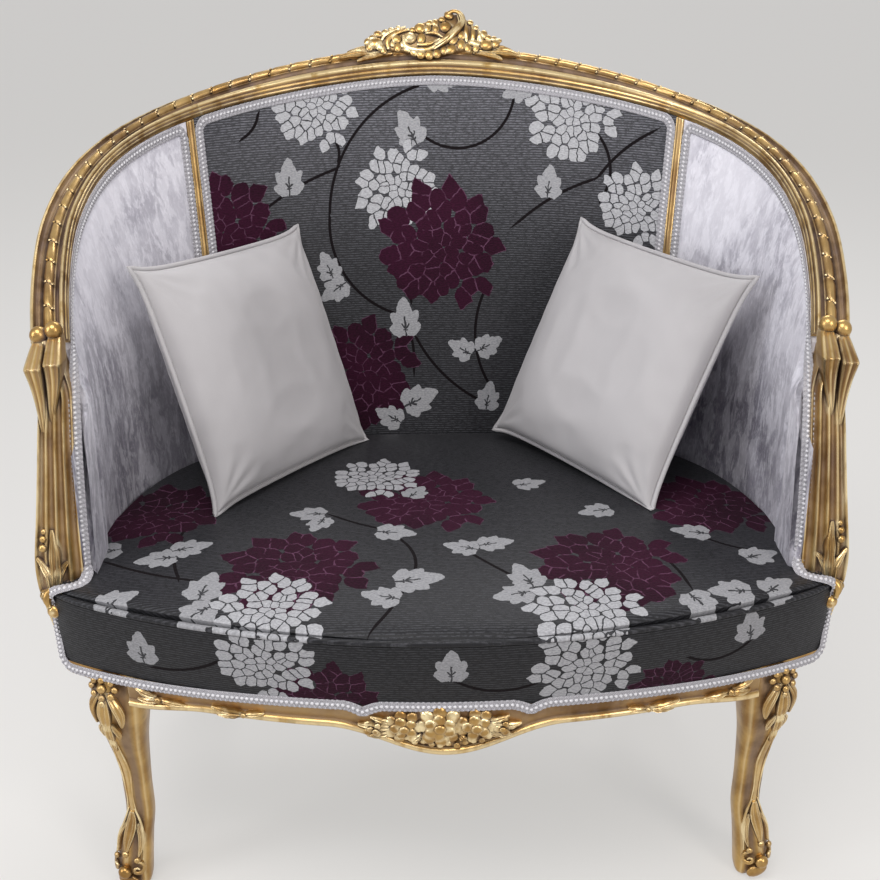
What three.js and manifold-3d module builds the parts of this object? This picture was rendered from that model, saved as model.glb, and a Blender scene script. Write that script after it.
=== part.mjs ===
// Tub bergere with a carved gilt frame, a tight upholstered seat and two loose cushions.
// Millimetres. X runs across the chair, Y from the front to the back, Z up.
import * as THREE from 'three';
import Module from 'manifold-3d';
import { mergeVertices } from 'three/addons/utils/BufferGeometryUtils.js';

const wasm = await Module();
wasm.setup();

// Fit between pieces
const seatGap = 0.3;
const softGap = 0.5;
const cutOverrun = 4;

// Seat frame: the plan of its outer face and the heights of its rails
const frameHalfWidth = 464;
const frameBackReach = 286;
const frameCentreY = -40;
const frameOvalPower = 2.25;
const armFrontY = -205;
const railBoardTop = 385;
const railBoardHeight = 65;
const railBoardLow = railBoardTop - railBoardHeight;
const railBoardThickness = 30;
const railLipProud = 4;
const railLipBack = 8;
const railLipHeight = 13;
const railLipTop = railBoardLow + railLipHeight;

// Front corners of the seat and the arc of the front between them
const seatCornerInset = 9;
const seatCornerX = frameHalfWidth - seatCornerInset;
const seatCornerLead = 44;
const seatCornerY = armFrontY - seatCornerLead;
const apronArc = 1030;
const apronLead = 5.05;
const apronFaceY = seatCornerY - apronLead - arcDrop(seatCornerX, apronArc);

// Front rail
const apronBelow = 4;
const apronLow = railBoardLow - apronBelow;
const apronHeight = 30;
const apronTop = apronLow + apronHeight;
const apronDrop = 35;
const apronDropHalfWidth = 135;
const apronSweep = 12;
const apronSweepStart = 270;
const apronLip = 14;
const apronRebate = 10;

// Crest and arm rail, one curve from the back centre down to the hand
const railSideFlare = 18;
const railBackRake = 96;
const railHandInset = 7;
const railHalfWidth = frameHalfWidth + railSideFlare;
const railBackReach = frameBackReach + railBackRake;
const railCentreY = frameCentreY;
const railOvalPower = 2.35;
const railHandHalfWidth = frameHalfWidth - railHandInset;
const railHandY = armFrontY;
const seatRise = 55;
const armRise = 250;
const crestRise = 297;
const seatEdgeHeight = railBoardTop + seatRise;
const handHeight = seatEdgeHeight + armRise;
const crestHeight = handHeight + crestRise;
const railFallPower = 1.7;
const railFallRoot = 0.75;
const railTiltAtCrest = 53;
const railTiltStartShare = 0.12;
const railTiltEndShare = 0.8;
const handBowShares = { inward: 0.35, forward: 0.5 };
const railFaceWidth = 43;
const railThickness = 40;
const railRebateShelf = 12;
const railRebateWall = 24;
const railEdgeDepth = 16;
const railFootInset = 3;
const railMouldDepth = 6;
const railMouldShares = [
  [0, -1], [0.12, 0], [0.23, -0.17], [0.33, -0.83], [0.49, -0.67],
  [0.58, 0], [0.77, -0.17], [0.88, -1], [1, -1],
];
const railJointShare = 0.42;
const railEndShare = 0.965;
const handTurnShare = 0.98;
const handEndShare = 0.99;

// Wall of the tub
const wallSideInset = 45;
const wallBackInset = 58;
const wallBaseHalfWidth = frameHalfWidth - wallSideInset;
const wallBaseBehind = 7;
const wallBaseCentreY = armFrontY + wallBaseBehind;
const wallBaseReach = frameCentreY + frameBackReach - wallBackInset - wallBaseCentreY;
const wallBaseOvalPower = 2.6;
const stileShare = 0.445;
const stileBaseShare = 0.475;
const stileHalfWidth = 6.5;
const stileProud = 3.5;
const wallThickness = 18;
const backCrown = 22;
const sideCrown = 14;
const crownSidePower = 0.6;
const crownRisePower = 0.8;
const crownSkewPower = 1.35;
const braidWidth = 11;
const braidThickness = 3;
const backColumns = 14;
const backRows = 8;
const sideColumns = 11;
const sideRows = 7;

// Front legs
const legPostInset = 94;
const legPostInnerX = frameHalfWidth - legPostInset;
const legPostWidth = 90;
const legPostBehind = 2;
const legPostRearY = armFrontY + legPostBehind;
const legPostDepth = 70;
const legPostBelow = 2;
const legPostLow = railBoardLow - legPostBelow;
const legPostOutlineShares = [[0, 0], [0, 1], [0.31, 0.93], [0.7, 0.68], [0.95, 0.48], [1, 0]];
const legCornerShare = 1.06;
const legSides = 8;
const glideHeight = 3;
const glideRadius = 9;
const glideFootShare = 0.8;
const legTenon = 10;
const legTop = railBoardLow + legTenon;
const frontLegInset = 76;
const frontLegX = frameHalfWidth - frontLegInset;
const frontLegLead = 38;
const frontLegY = armFrontY - frontLegLead;
const frontLegHalf = 29;
const frontLegSway = 14;
const frontLegBow = 10;

// Shares of the height, of the sway outward, of the bow backward and of the half width
const frontLegShares = [
  [1, 0, 0, 1],
  [0.908, -0.5, -1, 0.98],
  [0.792, -0.79, -0.6, 0.83],
  [0.676, -0.96, -0.1, 0.67],
  [0.557, -1, 0.3, 0.57],
  [0.44, -0.86, 0.5, 0.52],
  [0.312, -0.5, 0.6, 0.535],
  [0.199, 0, 0.5, 0.655],
  [0.101, 0.43, 0.2, 0.72],
  [0.028, 0.64, -0.1, 0.655],
  [0, 0.64, -0.1, 0.55],
];

// Rear legs, set in from the seat frame at a share of its plan
const rearPostShare = 0.45675;
const rearPostInset = 29.83;
const rearPostHalf = 24;
const rearLegTurn = 45;
const rearLegHalf = 21;
const rearLegSplay = 19;
const rearLegRake = 93;
const rearLegShares = [
  [1, 0, 0, 1],
  [0.878, 0.21, 0.086, 1],
  [0.664, 0.32, 0.247, 0.833],
  [0.419, 0.53, 0.505, 0.714],
  [0.174, 0.79, 0.806, 0.738],
  [0.052, 0.95, 0.957, 0.81],
  [0, 1, 1, 0.714],
];

// Arm supports
const supportAbove = 10;
const supportTop = handHeight + supportAbove;
const supportInset = 6;
const supportOuterX = frameHalfWidth - supportInset;
const supportWidth = 45;
const supportLead = 27;
const supportFrontY = armFrontY - supportLead;
const supportDepth = 38;
const supportBackShares = [[1, 0.6], [0.9, 1]];

// Shares of the height, of the width outward and across, and of the depth forward and through
const supportShares = [
  { height: 1, outer: 0.133, wide: 1.31, front: 0.158, deep: 1.105, tilt: 25 },
  { height: 0.949, outer: 0.178, wide: 1.36, front: -0.158, deep: 1.289, tilt: 8 },
  { height: 0.873, outer: 0, wide: 1.11, front: -0.105, deep: 1.158, tilt: 0 },
  { height: 0.736, outer: -0.156, wide: 0.91, front: 0.026, deep: 1, tilt: 0 },
  { height: 0.498, outer: 0, wide: 1, front: 0, deep: 1, tilt: 0 },
  { height: 0.253, outer: 0.111, wide: 1.11, front: -0.132, deep: 1.13, tilt: 0 },
  { height: 0.082, outer: 0.144, wide: 1.16, front: -0.342, deep: 1.316, tilt: 0 },
  { height: 0, outer: 0.144, wide: 1.16, front: -0.342, deep: 1.316, tilt: 0 },
];

// Seat
const seatLead = 19;
const seatFrontY = apronFaceY - seatLead;
const seatArcCut = 60;
const seatArc = apronArc - seatArcCut;
const seatArcInset = 64;
const seatArcHalf = frameHalfWidth - seatArcInset;
const cornerLead = 4;
const seatCrown = 25;
const seatWallClear = 7;
const supportClear = 1;
const supportNotchClear = 2;
const weltRadius = 3.5;
const weltSides = 6;
const borderThickness = 7.2;
const borderTop = seatEdgeHeight - weltRadius;
const borderGap = 3;
const borderLow = apronTop + borderGap;
const borderArcShare = 0.74;
const borderTurnShare = 0.82;
const cuspX = 94;
const cuspHalfWidth = 22;
const cuspDrop = 9;
const braidTurn = 16;
const braidTurnSteps = 5;
const braidFall = 10;
const hessianThickness = 2;
const hessianInset = 14;
const stuffingHeight = 24.4;
const stuffingInset = 11;

// Webbing and the cloth under it
const webbingThickness = 2.4;
const webStrapWidth = 52;
const webbingInset = 2;
const dustCoverThickness = 1;
const dustCoverInset = 1;
const strapLead = 5;
const strapMiddleY = frameCentreY - strapLead;
const strapPitchY = 127;
const strapColumns = 5;
const strapInset = 192;
const strapReachX = frameHalfWidth - strapInset;

// Corner blocks
const cornerBlockLift = 20;
const cornerBlockLow = railBoardLow + cornerBlockLift;
const cornerBlockHalf = 70;
const cornerBlockDepth = 52;
const cornerBlockSeatShare = 0.6;
const cornerBlockShares = [[-1, 0], [-0.55, 1], [0.55, 1], [1, 0]];
const frontBlockLeg = 50;

// Springs
const springRadius = 32;
const springWaist = 23;
const springWireRadius = 2;
const springTurns = 3;
const springTurnSteps = 8;
const springSides = 5;

// Inner rails that the covers are tacked to
const tackRailHeight = 34;
const tackRailDepth = 14;

// Outer covers
const coverThickness = 3;
const coverLift = 3;
const coverLow = railLipTop + coverLift;
const coverClear = 2.2;
const coverBulge = 6;
const coverRailInset = 8;
const coverStop = 15;
const coverFrontY = armFrontY + coverStop;
const coverLead = 30;
const coverSeamShare = 0.44;

// Loose cushions
const cushionSide = 330;
const cushionThickness = 112;
const cushionPull = 10;
const cushionSeam = 3;
const cushionPlaceShares = {
  left: { across: -0.575, back: 0.65, up: 0.503 },
  right: { across: 0.563, back: 0.643, up: 0.506 },
};
const cushionTurns = {
  left: { turn: 55, lean: -22, roll: 1.7 },
  right: { turn: -52, lean: -26, roll: 3.5 },
};

// Carvings
const crestCarvingDepth = 20;
const crestCarvingProud = 9;
const crestCarvingHalfWidth = 100;
const crestCarvingHeight = 50;
const crestCarvingShares = [
  [-1.04, -0.1], [-0.98, 0.16], [-0.8, 0.3], [-0.64, 0.52], [-0.45, 0.66], [-0.28, 0.72],
  [-0.12, 0.74], [0.02, 0.84], [0.16, 0.94], [0.31, 1], [0.43, 0.82], [0.57, 0.62],
  [0.72, 0.46], [0.86, 0.22], [0.96, -0.06],
  [0.6, -0.18], [0.3, -0.34], [0, -0.42], [-0.34, -0.34], [-0.66, -0.18],
];
const apronCarvingHalfWidth = 66;
const apronCarvingLow = 5;
const apronCarvingTop = apronTop - apronCarvingLow;
const apronCarvingHeight = 38;
const apronCarvingProud = 12;
const apronCarvingLobes = 5;
const apronCarvingEndShare = 0.3;
const apronCarvingDipShare = 0.3;
const apronCarvingShoulderShares = { out: 0.6, up: 0.8 };

// Step along a curve over which its direction is taken
const stepShare = 0.004;

const gold = { color: '#a8792f', roughness: 0.34, metalness: 0.85 };
const wood = { color: '#9a7448', roughness: 0.75, metalness: 0 };
const jacquard = { color: '#3b3b41', roughness: 0.5, metalness: 0 };
const velvet = { color: '#b9b5c2', roughness: 0.55, metalness: 0 };
const cushionVelvet = { color: '#a6a09f', roughness: 0.85, metalness: 0 };
const braid = { color: '#b4b0b8', roughness: 0.5, metalness: 0.2 };
const webbing = { color: '#a08a64', roughness: 0.95, metalness: 0 };
const stuffing = { color: '#d8cfbb', roughness: 1, metalness: 0 };
const blackCloth = { color: '#232327', roughness: 0.95, metalness: 0 };
const steel = { color: '#9a9da2', roughness: 0.35, metalness: 0.9 };

const chair = new THREE.Group();

// General helpers

const point = (x, y, z) => new THREE.Vector3(x, y, z);

const degrees = (angle) => THREE.MathUtils.degToRad(angle);

const mix = THREE.MathUtils.lerp;

function mixPoints(a, b, share) {
  return a.clone().lerp(b, share);
}

// Offsets from a place along up to three directions.
function place(origin, ...steps) {
  const result = origin.clone();
  steps.forEach(([direction, amount]) => result.addScaledVector(direction, amount));
  return result;
}

function signedVolume(positions, index) {
  let sum = 0;
  for (let i = 0; i < index.length; i += 3) {
    const [a, b, c] = [index[i], index[i + 1], index[i + 2]].map(
      (k) => point(positions[k * 3], positions[k * 3 + 1], positions[k * 3 + 2]),
    );
    sum += a.dot(b.cross(c)) / 6;
  }
  return sum;
}

function solidFrom(positions, index) {
  const faces = index.slice();
  if (signedVolume(positions, faces) < 0) {
    for (let i = 0; i < faces.length; i += 3) {
      [faces[i], faces[i + 1]] = [faces[i + 1], faces[i]];
    }
  }
  const geometry = new THREE.BufferGeometry();
  geometry.setAttribute('position', new THREE.Float32BufferAttribute(positions, 3));
  geometry.setIndex(faces);
  return geometry;
}

// The flat view of a ring that its end cap is cut in.
function flatten(ring) {
  const normal = point(0, 0, 0);
  ring.forEach((p, i) => normal.add(p.clone().cross(ring[(i + 1) % ring.length])));
  normal.normalize();
  const across = Math.abs(normal.z) < 0.9 ? point(0, 0, 1) : point(1, 0, 0);
  const uAxis = across.cross(normal).normalize();
  const vAxis = normal.clone().cross(uAxis);
  return ring.map((p) => new THREE.Vector2(p.dot(uAxis), p.dot(vAxis)));
}

// Whether a cap triangle turns the same way as its ring.
function turnsWith(ring, a, b, c) {
  const normal = point(0, 0, 0);
  ring.forEach((p, i) => normal.add(p.clone().cross(ring[(i + 1) % ring.length])));
  const face = ring[b].clone().sub(ring[a]).cross(ring[c].clone().sub(ring[a]));
  return face.dot(normal) > 0;
}

// End cap of any outline, or the rungs between the front and back points of a slab.
function capFaces(ring, isSlab) {
  const last = ring.length - 1;
  if (isSlab) {
    return evenly(0, ring.length / 2 - 2, ring.length / 2 - 2).flatMap((j) => [
      [j, j + 1, last - j],
      [j + 1, last - j - 1, last - j],
    ]);
  }
  return THREE.ShapeUtils.triangulateShape(flatten(ring), []).map(([a, b, c]) => (
    turnsWith(ring, a, b, c) ? [a, b, c] : [a, c, b]
  ));
}

// A closed body through rings of points, capped at both ends or joined round.
function loft(rings, { round = false, isSlab = false } = {}) {
  const count = rings[0].length;
  const positions = [];
  rings.flat().forEach((p) => positions.push(p.x, p.y, p.z));
  const index = [];
  const steps = round ? rings.length : rings.length - 1;
  for (let i = 0; i < steps; i += 1) {
    const next = ((i + 1) % rings.length) * count;
    for (let j = 0; j < count; j += 1) {
      const k = (j + 1) % count;
      index.push(i * count + j, i * count + k, next + k);
      index.push(i * count + j, next + k, next + j);
    }
  }
  if (!round) {
    const last = (rings.length - 1) * count;
    capFaces(rings[0], isSlab).forEach(([a, b, c]) => index.push(a, c, b));
    capFaces(rings[rings.length - 1], isSlab).forEach((face) => (
      index.push(...face.map((k) => last + k))
    ));
  }
  return solidFrom(positions, index);
}

function extrudeUp(outline, low, height) {
  const shape = new THREE.Shape(outline.map(([x, y]) => new THREE.Vector2(x, y)));
  const geometry = new THREE.ExtrudeGeometry(shape, { depth: height, bevelEnabled: false });
  geometry.translate(0, 0, low);
  return geometry;
}

function toManifold(geometry) {
  const bare = geometry.clone();
  bare.deleteAttribute('normal');
  bare.deleteAttribute('uv');
  const merged = mergeVertices(bare);
  return new wasm.Manifold(new wasm.Mesh({
    numProp: 3,
    vertProperties: merged.getAttribute('position').array,
    triVerts: new Uint32Array(merged.getIndex().array),
  }));
}

function fromManifold(manifold) {
  const mesh = manifold.getMesh();
  const geometry = new THREE.BufferGeometry();
  geometry.setAttribute('position', new THREE.Float32BufferAttribute(mesh.vertProperties, 3));
  geometry.setIndex(Array.from(mesh.triVerts));
  return geometry;
}

function cutBy(geometry, ...tools) {
  let body = toManifold(geometry);
  tools.forEach((tool) => {
    body = body.subtract(toManifold(tool));
  });
  return fromManifold(body);
}

function common(geometry, other) {
  return fromManifold(toManifold(geometry).intersect(toManifold(other)));
}

function fuse(geometry, ...others) {
  let body = toManifold(geometry);
  others.forEach((other) => {
    body = body.add(toManifold(other));
  });
  return fromManifold(body);
}

function addPiece(name, geometry, finish, parent = chair) {
  const material = new THREE.MeshStandardMaterial(finish);
  const mesh = new THREE.Mesh(geometry, material);
  mesh.name = name;
  parent.add(mesh);
  return mesh;
}

// Runs a maker once for the right side and once for the left.
function bothSides(make) {
  [['right', 1], ['left', -1]].forEach(([side, sign]) => make(side, sign));
}

// Quarter of a squared-off oval, from its back centre to its side.
function ovalPoint(half, reach, centreY, ovalPower, angle) {
  const power = 2 / ovalPower;
  return point(
    half * Math.sin(angle) ** power,
    centreY + reach * Math.cos(angle) ** power,
    0,
  );
}

function ovalPoints(half, reach, centreY, ovalPower, count) {
  const quarter = Math.PI / 2;
  return Array.from({ length: count + 1 }, (_, i) => (
    ovalPoint(half, reach, centreY, ovalPower, quarter * (i / count))
  ));
}

// Half of a plan curve as a function of the signed share of its length.
function halfCurve(points) {
  const curve = new THREE.CatmullRomCurve3(points, false, 'centripetal');
  curve.arcLengthDivisions = 600;
  curve.updateArcLengths();
  return (share) => {
    const p = curve.getPointAt(Math.min(Math.abs(share), 1));
    return point(p.x * Math.sign(share || 1), p.y, p.z);
  };
}

function evenly(from, to, count) {
  return Array.from({ length: count + 1 }, (_, i) => mix(from, to, i / count));
}

// Crest and arm rail curve

const railPlanPoints = [
  ...ovalPoints(railHalfWidth, railBackReach, railCentreY, railOvalPower, 14),
  point(
    mix(railHalfWidth, railHandHalfWidth, handBowShares.inward),
    mix(railCentreY, railHandY, handBowShares.forward),
    0,
  ),
  point(railHandHalfWidth, railHandY, 0),
];
const railPlan = halfCurve(railPlanPoints);

function railHeight(share) {
  const fall = 1 - Math.min(Math.abs(share), 1) ** railFallPower;
  return handHeight + (crestHeight - handHeight) * fall ** railFallRoot;
}

function railSpine(share) {
  const p = railPlan(share);
  return point(p.x, p.y, railHeight(share));
}

// Place and directions of the rail: along it, in across its face, and out of its face.
function railFrame(share) {
  const ahead = railSpine(Math.min(share + stepShare, 1));
  const behind = railSpine(Math.max(share - stepShare, -1));
  const along = ahead.clone().sub(behind).normalize();
  const flat = point(along.x, along.y, 0).normalize();
  const inward = point(flat.y, -flat.x, 0);
  const turned = THREE.MathUtils.smoothstep(Math.abs(share), railTiltStartShare, railTiltEndShare);
  const tilt = degrees(railTiltAtCrest) * (1 - turned);
  const across = inward.multiplyScalar(Math.cos(tilt)).add(point(0, 0, -Math.sin(tilt)));
  across.addScaledVector(along, -across.dot(along)).normalize();
  const out = across.clone().cross(along).normalize();
  return { origin: railSpine(share), along, across, out };
}

// Section of the rail: lengths in across its face and out of it.
const railSection = [
  [0, -railEdgeDepth],
  ...railMouldShares.map(([across, rise]) => [across * railFaceWidth, rise * railMouldDepth]),
  [railFaceWidth, -railRebateShelf],
  [railRebateWall, -railRebateShelf],
  [railRebateWall, -railThickness],
  [railFootInset, -railThickness],
];

// A section with every edge moved outward by the same amount.
function grown(section, amount) {
  const at = (i) => new THREE.Vector2(...section[(i + section.length) % section.length]);
  const area = section.reduce((sum, _, i) => sum + at(i).cross(at(i + 1)), 0);
  const outward = (i) => {
    const edge = at(i + 1).sub(at(i)).normalize();
    return new THREE.Vector2(edge.y, -edge.x).multiplyScalar(Math.sign(area));
  };
  return section.map((_, i) => {
    const before = outward(i - 1);
    const after = outward(i);
    const corner = before.clone().add(after).divideScalar(1 + before.dot(after));
    return at(i).addScaledVector(corner, amount).toArray();
  });
}

function sectionRing(frame, section) {
  return section.map(([w, n]) => place(frame.origin, [frame.across, w], [frame.out, n]));
}

function railLength(from, to, count, section) {
  return loft(evenly(from, to, count).map((share) => sectionRing(railFrame(share), section)));
}

const railTotal = curveLength(evenly(0, 1, 200).map(railSpine));

function crestRail(section) {
  return railLength(-railJointShare, railJointShare, 26, section);
}

function makeRails() {
  addPiece('crest_rail', crestRail(railSection), gold);
  bothSides((side, sign) => {
    const from = (railJointShare + seatGap / railTotal) * sign;
    const rail = railLength(from, railEndShare * sign, 14, railSection);
    addPiece(`${side}_arm_rail`, rail, gold);
  });
}

makeRails();

// Wall of the tub: a ruled surface from the base line up to the inner side of the rail

const wallBasePlan = halfCurve(
  ovalPoints(wallBaseHalfWidth, wallBaseReach, wallBaseCentreY, wallBaseOvalPower, 14),
);
const wallFoot = railBoardTop + softGap;

function wallTop(share) {
  const frame = railFrame(share);
  return place(
    frame.origin,
    [frame.across, railFaceWidth + softGap],
    [frame.out, -railRebateShelf - softGap],
  );
}

function wallBase(share) {
  const p = wallBasePlan(share);
  return point(p.x, p.y, wallFoot);
}

function ruled(topShare, baseShare, rise) {
  return mixPoints(wallBase(baseShare), wallTop(topShare), rise);
}

// Direction out of the wall towards the sitter, level along the base line.
function wallNormal(topShare, baseShare, rise) {
  const a = ruled(topShare - stepShare, baseShare - stepShare, rise);
  const b = ruled(topShare + stepShare, baseShare + stepShare, rise);
  const up = wallTop(topShare).sub(wallBase(baseShare));
  const normal = b.sub(a).cross(up).normalize();
  normal.z *= rise;
  return normal.normalize();
}

function wallPoint(topShare, baseShare, rise, depth) {
  const normal = wallNormal(topShare, baseShare, rise);
  return place(ruled(topShare, baseShare, rise), [normal, depth]);
}

const wallBaseLength = curveLength(evenly(0, 1, 200).map(wallBase));

function curveLength(points) {
  return points.slice(1).reduce((sum, p, i) => sum + p.distanceTo(points[i]), 0);
}

const railPlanLength = curveLength(evenly(0, 1, 200).map(railPlan));

// Corners of each panel as shares of the rail and of the base line.
function panelBetween(fromTop, toTop, fromBase, toBase, crown) {
  const width = Math.abs(toTop - fromTop) * railPlanLength;
  const height = wallTop((fromTop + toTop) / 2).distanceTo(wallBase((fromBase + toBase) / 2));
  return {
    fromTop,
    toTop,
    fromBase,
    toBase,
    crown,
    sideMarginShare: (braidWidth + softGap) / width,
    topMarginShare: (braidWidth + softGap) / height,
  };
}

function stileSide(offset) {
  const clear = stileHalfWidth + offset;
  return { top: clear / railPlanLength, base: clear / wallBaseLength };
}

const stileEdge = stileSide(softGap);
const supportStations = supportShares.map(({ height, outer, wide, front, deep, tilt }) => ({
  z: mix(railBoardTop + seatGap, supportTop, height),
  outer: supportOuterX + outer * supportWidth,
  width: wide * supportWidth,
  front: supportFrontY + front * supportDepth,
  depth: deep * supportDepth,
  tilt,
}));
const supportFoot = supportStations[supportStations.length - 1];
const supportInnerX = supportFoot.outer - supportFoot.width;
const supportRearY = supportFoot.front + supportFoot.depth;

const backPanel = panelBetween(
  -stileShare + stileEdge.top,
  stileShare - stileEdge.top,
  -stileBaseShare + stileEdge.base,
  stileBaseShare - stileEdge.base,
  backCrown,
);

function sidePanel(sign) {
  return panelBetween(
    (stileShare + stileEdge.top) * sign,
    handEndShare * sign,
    (stileBaseShare + stileEdge.base) * sign,
    sign,
    sideCrown,
  );
}

function panelCrown(panel, across, rise) {
  const inner = (across - panel.sideMarginShare) / (1 - 2 * panel.sideMarginShare);
  const lift = rise / (1 - panel.topMarginShare);
  const inside = (share) => THREE.MathUtils.clamp(share, 0, 1);
  const sides = Math.max(Math.sin(Math.PI * inside(inner)), 0) ** crownSidePower;
  const heights = Math.max(Math.sin(Math.PI * inside(lift) ** crownSkewPower), 0) ** crownRisePower;
  return panel.crown * sides * heights;
}

function panelPoint(panel, across, rise, depth) {
  const topShare = mix(panel.fromTop, panel.toTop, across);
  const baseShare = mix(panel.fromBase, panel.toBase, across);
  return wallPoint(topShare, baseShare, rise, depth);
}

function sideShares(panel, count) {
  const margin = panel.sideMarginShare;
  return [0, ...evenly(margin, 1 - margin, count), 1];
}

function riseShares(panel, count) {
  return [...evenly(0, 1 - panel.topMarginShare, count), 1];
}

function padGeometry(panel, columns, rows, growth = 0) {
  const rises = riseShares(panel, rows);
  return loft(sideShares(panel, columns).map((across) => [
    ...rises.map((rise) => (
      panelPoint(panel, across, rise, panelCrown(panel, across, rise) + growth)
    )),
    ...rises.slice().reverse().map((rise) => panelPoint(panel, across, rise, -wallThickness)),
  ]), { isSlab: true });
}

// The braid covers the outer cells of a panel up one side, along the top and down the other.
function braidGeometry(panel, columns, rows) {
  const side = panel.sideMarginShare;
  const top = 1 - panel.topMarginShare;
  const rises = riseShares(panel, rows).filter((rise) => rise < top);
  const alongs = sideShares(panel, columns).filter((share) => share > side && share < 1 - side);
  const pairs = [
    ...rises.map((rise) => [[0, rise], [side, rise]]),
    [[0, 1], [side, top]],
    ...alongs.map((share) => [[share, 1], [share, top]]),
    [[1, 1], [1 - side, top]],
    ...rises.reverse().map((rise) => [[1, rise], [1 - side, rise]]),
  ];
  return loft(pairs.map(([edge, inset]) => {
    const shy = (amount) => mix(edge[0], inset[0], amount);
    const low = (amount) => mix(edge[1], inset[1], amount);
    const innerShare = braidWidth / (braidWidth + softGap);
    return [
      panelPoint(panel, edge[0], edge[1], softGap),
      panelPoint(panel, shy(innerShare), low(innerShare), softGap),
      panelPoint(panel, shy(innerShare), low(innerShare), softGap + braidThickness),
      panelPoint(panel, edge[0], edge[1], softGap + braidThickness),
    ];
  }));
}

function stileGeometry(sign) {
  const half = stileSide(0);
  return loft(evenly(0, 1, 6).map((rise) => {
    const corner = (side, depth) => wallPoint(
      (stileShare + half.top * side) * sign,
      (stileBaseShare + half.base * side) * sign,
      rise,
      depth,
    );
    return [
      corner(-1, stileProud),
      corner(1, stileProud),
      corner(1, -wallThickness),
      corner(-1, -wallThickness),
    ];
  }));
}

// Arm supports: the rail runs on over the hand and turns down into the post

const postSection = [
  ...railSection.slice(0, -supportBackShares.length - 1),
  ...supportBackShares.map(([across, depth]) => [across * railFaceWidth, -depth * railThickness]),
  railSection[railSection.length - 1],
];

function supportRing(station, sign, section) {
  const origin = point(station.outer * sign, station.front, station.z);
  const wide = station.width / railFaceWidth;
  const deep = station.depth / railThickness;
  const across = point(-sign, 0, 0);
  const out = point(0, -Math.cos(degrees(station.tilt)), Math.sin(degrees(station.tilt)));
  return section.map(([w, n]) => place(origin, [across, w * wide], [out, n * deep]));
}

function armSupport(sign, growth = 0) {
  const from = railEndShare + seatGap / railTotal;
  const handSection = grown(railSection, growth);
  const section = grown(postSection, growth);
  const hand = evenly(from, handTurnShare, 2).map((share) => (
    sectionRing(railFrame(share * sign), handSection)
  ));
  const post = supportStations.map((station) => supportRing(station, sign, section));
  return loft([...hand, ...post]);
}

function makeWall() {
  addPiece('back_pad', padGeometry(backPanel, backColumns, backRows), jacquard);
  addPiece('back_gimp', braidGeometry(backPanel, backColumns, backRows), braid);
  bothSides((side, sign) => {
    const panel = sidePanel(sign);
    const support = armSupport(sign, softGap);
    addPiece(`${side}_side_pad`, cutBy(padGeometry(panel, sideColumns, sideRows), support), velvet);
    addPiece(`${side}_gimp`, cutBy(braidGeometry(panel, sideColumns, sideRows), support), braid);
    addPiece(`${side}_back_stile`, stileGeometry(sign), gold);
    addPiece(`${side}_arm_support`, armSupport(sign), gold);
  });
}

makeWall();

// Seat plan: the front arc, its rounded corner and the side up to the arm support

function arcDrop(x, radius) {
  return radius - Math.sqrt(radius * radius - x * x);
}

function arcY(x, frontY, radius) {
  return frontY + arcDrop(x, radius);
}

function frontEdge(frontY, radius, inset = 0) {
  const start = point(seatArcHalf, arcY(seatArcHalf, frontY, radius), 0);
  const slope = seatArcHalf / Math.sqrt(radius * radius - seatArcHalf * seatArcHalf);
  const turnX = seatCornerX - cornerLead;
  const turn = point(turnX, start.y + slope * (turnX - start.x), 0);
  const end = point(seatCornerX, seatCornerY, 0);
  const arc = evenly(0, seatArcHalf, 11).map((x) => point(x, arcY(x, frontY, radius), 0));
  const corner = new THREE.QuadraticBezierCurve3(start, turn, end).getPoints(4).slice(1);
  const path = [...arc, ...corner];
  return path.map((p, i) => {
    const before = path[Math.max(i - 1, 0)];
    const after = path[Math.min(i + 1, path.length - 1)];
    const along = after.clone().sub(before).normalize();
    if (i === 0) along.set(1, 0, 0);
    if (i === path.length - 1) along.set(0, 1, 0);
    return place(p, [point(-along.y, along.x, 0), inset]);
  });
}

function wholeWidth(half) {
  return [...half.slice(1).reverse().map((p) => point(-p.x, p.y, p.z)), ...half];
}

// Plan of the seat: behind the front edge, round the arm supports and inside the wall.
function seatOutline(edge, wallInset) {
  const front = edge.filter((p) => p.y < seatCornerY - softGap);
  const cornerX = front[front.length - 1].x;
  const side = evenly(1, 0, 12).map((share) => {
    const p = wallBasePlan(share);
    return point(
      p.x * (1 - wallInset / wallBaseHalfWidth),
      wallBaseCentreY + (p.y - wallBaseCentreY) * (1 - wallInset / wallBaseReach),
      0,
    );
  });
  const clearOfSupport = side.filter((p) => p.y > supportRearY + supportClear);
  const notchX = supportInnerX - supportNotchClear;
  const corner = [point(cornerX, seatCornerY, 0), point(notchX, seatCornerY, 0)];
  return closedOutline([...front, ...corner, ...clearOfSupport]);
}

// A right half, from its front centre to its back centre, mirrored into a whole outline.
function closedOutline(half) {
  const left = half.slice(1, -1).reverse().map((p) => [-p.x, p.y]);
  return [...half.map((p) => [p.x, p.y]), ...left];
}

// Seat rails

const framePlan = halfCurve([
  ...ovalPoints(frameHalfWidth, frameBackReach, frameCentreY, frameOvalPower, 14),
  point(frameHalfWidth, mix(frameCentreY, coverFrontY, 0.5), 0),
  point(frameHalfWidth, coverFrontY, 0),
]);
const framePlanLength = curveLength(evenly(0, 1, 200).map(framePlan));

function planFrame(plan, share) {
  const ahead = plan(Math.min(share + stepShare, 1));
  const behind = plan(Math.max(share - stepShare, -1));
  const along = ahead.sub(behind).normalize();
  return { origin: plan(share), along, inward: point(along.y, -along.x, 0) };
}

const railBoardSection = [
  [0, railBoardTop],
  [0, railLipTop + railLipProud],
  [-railLipProud, railLipTop],
  [-railLipProud, apronLow + railLipProud],
  [0, apronLow],
  [railLipProud, apronLow],
  [railLipBack, railBoardLow],
  [railBoardThickness, railBoardLow],
  [railBoardThickness, railBoardTop],
];

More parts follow.
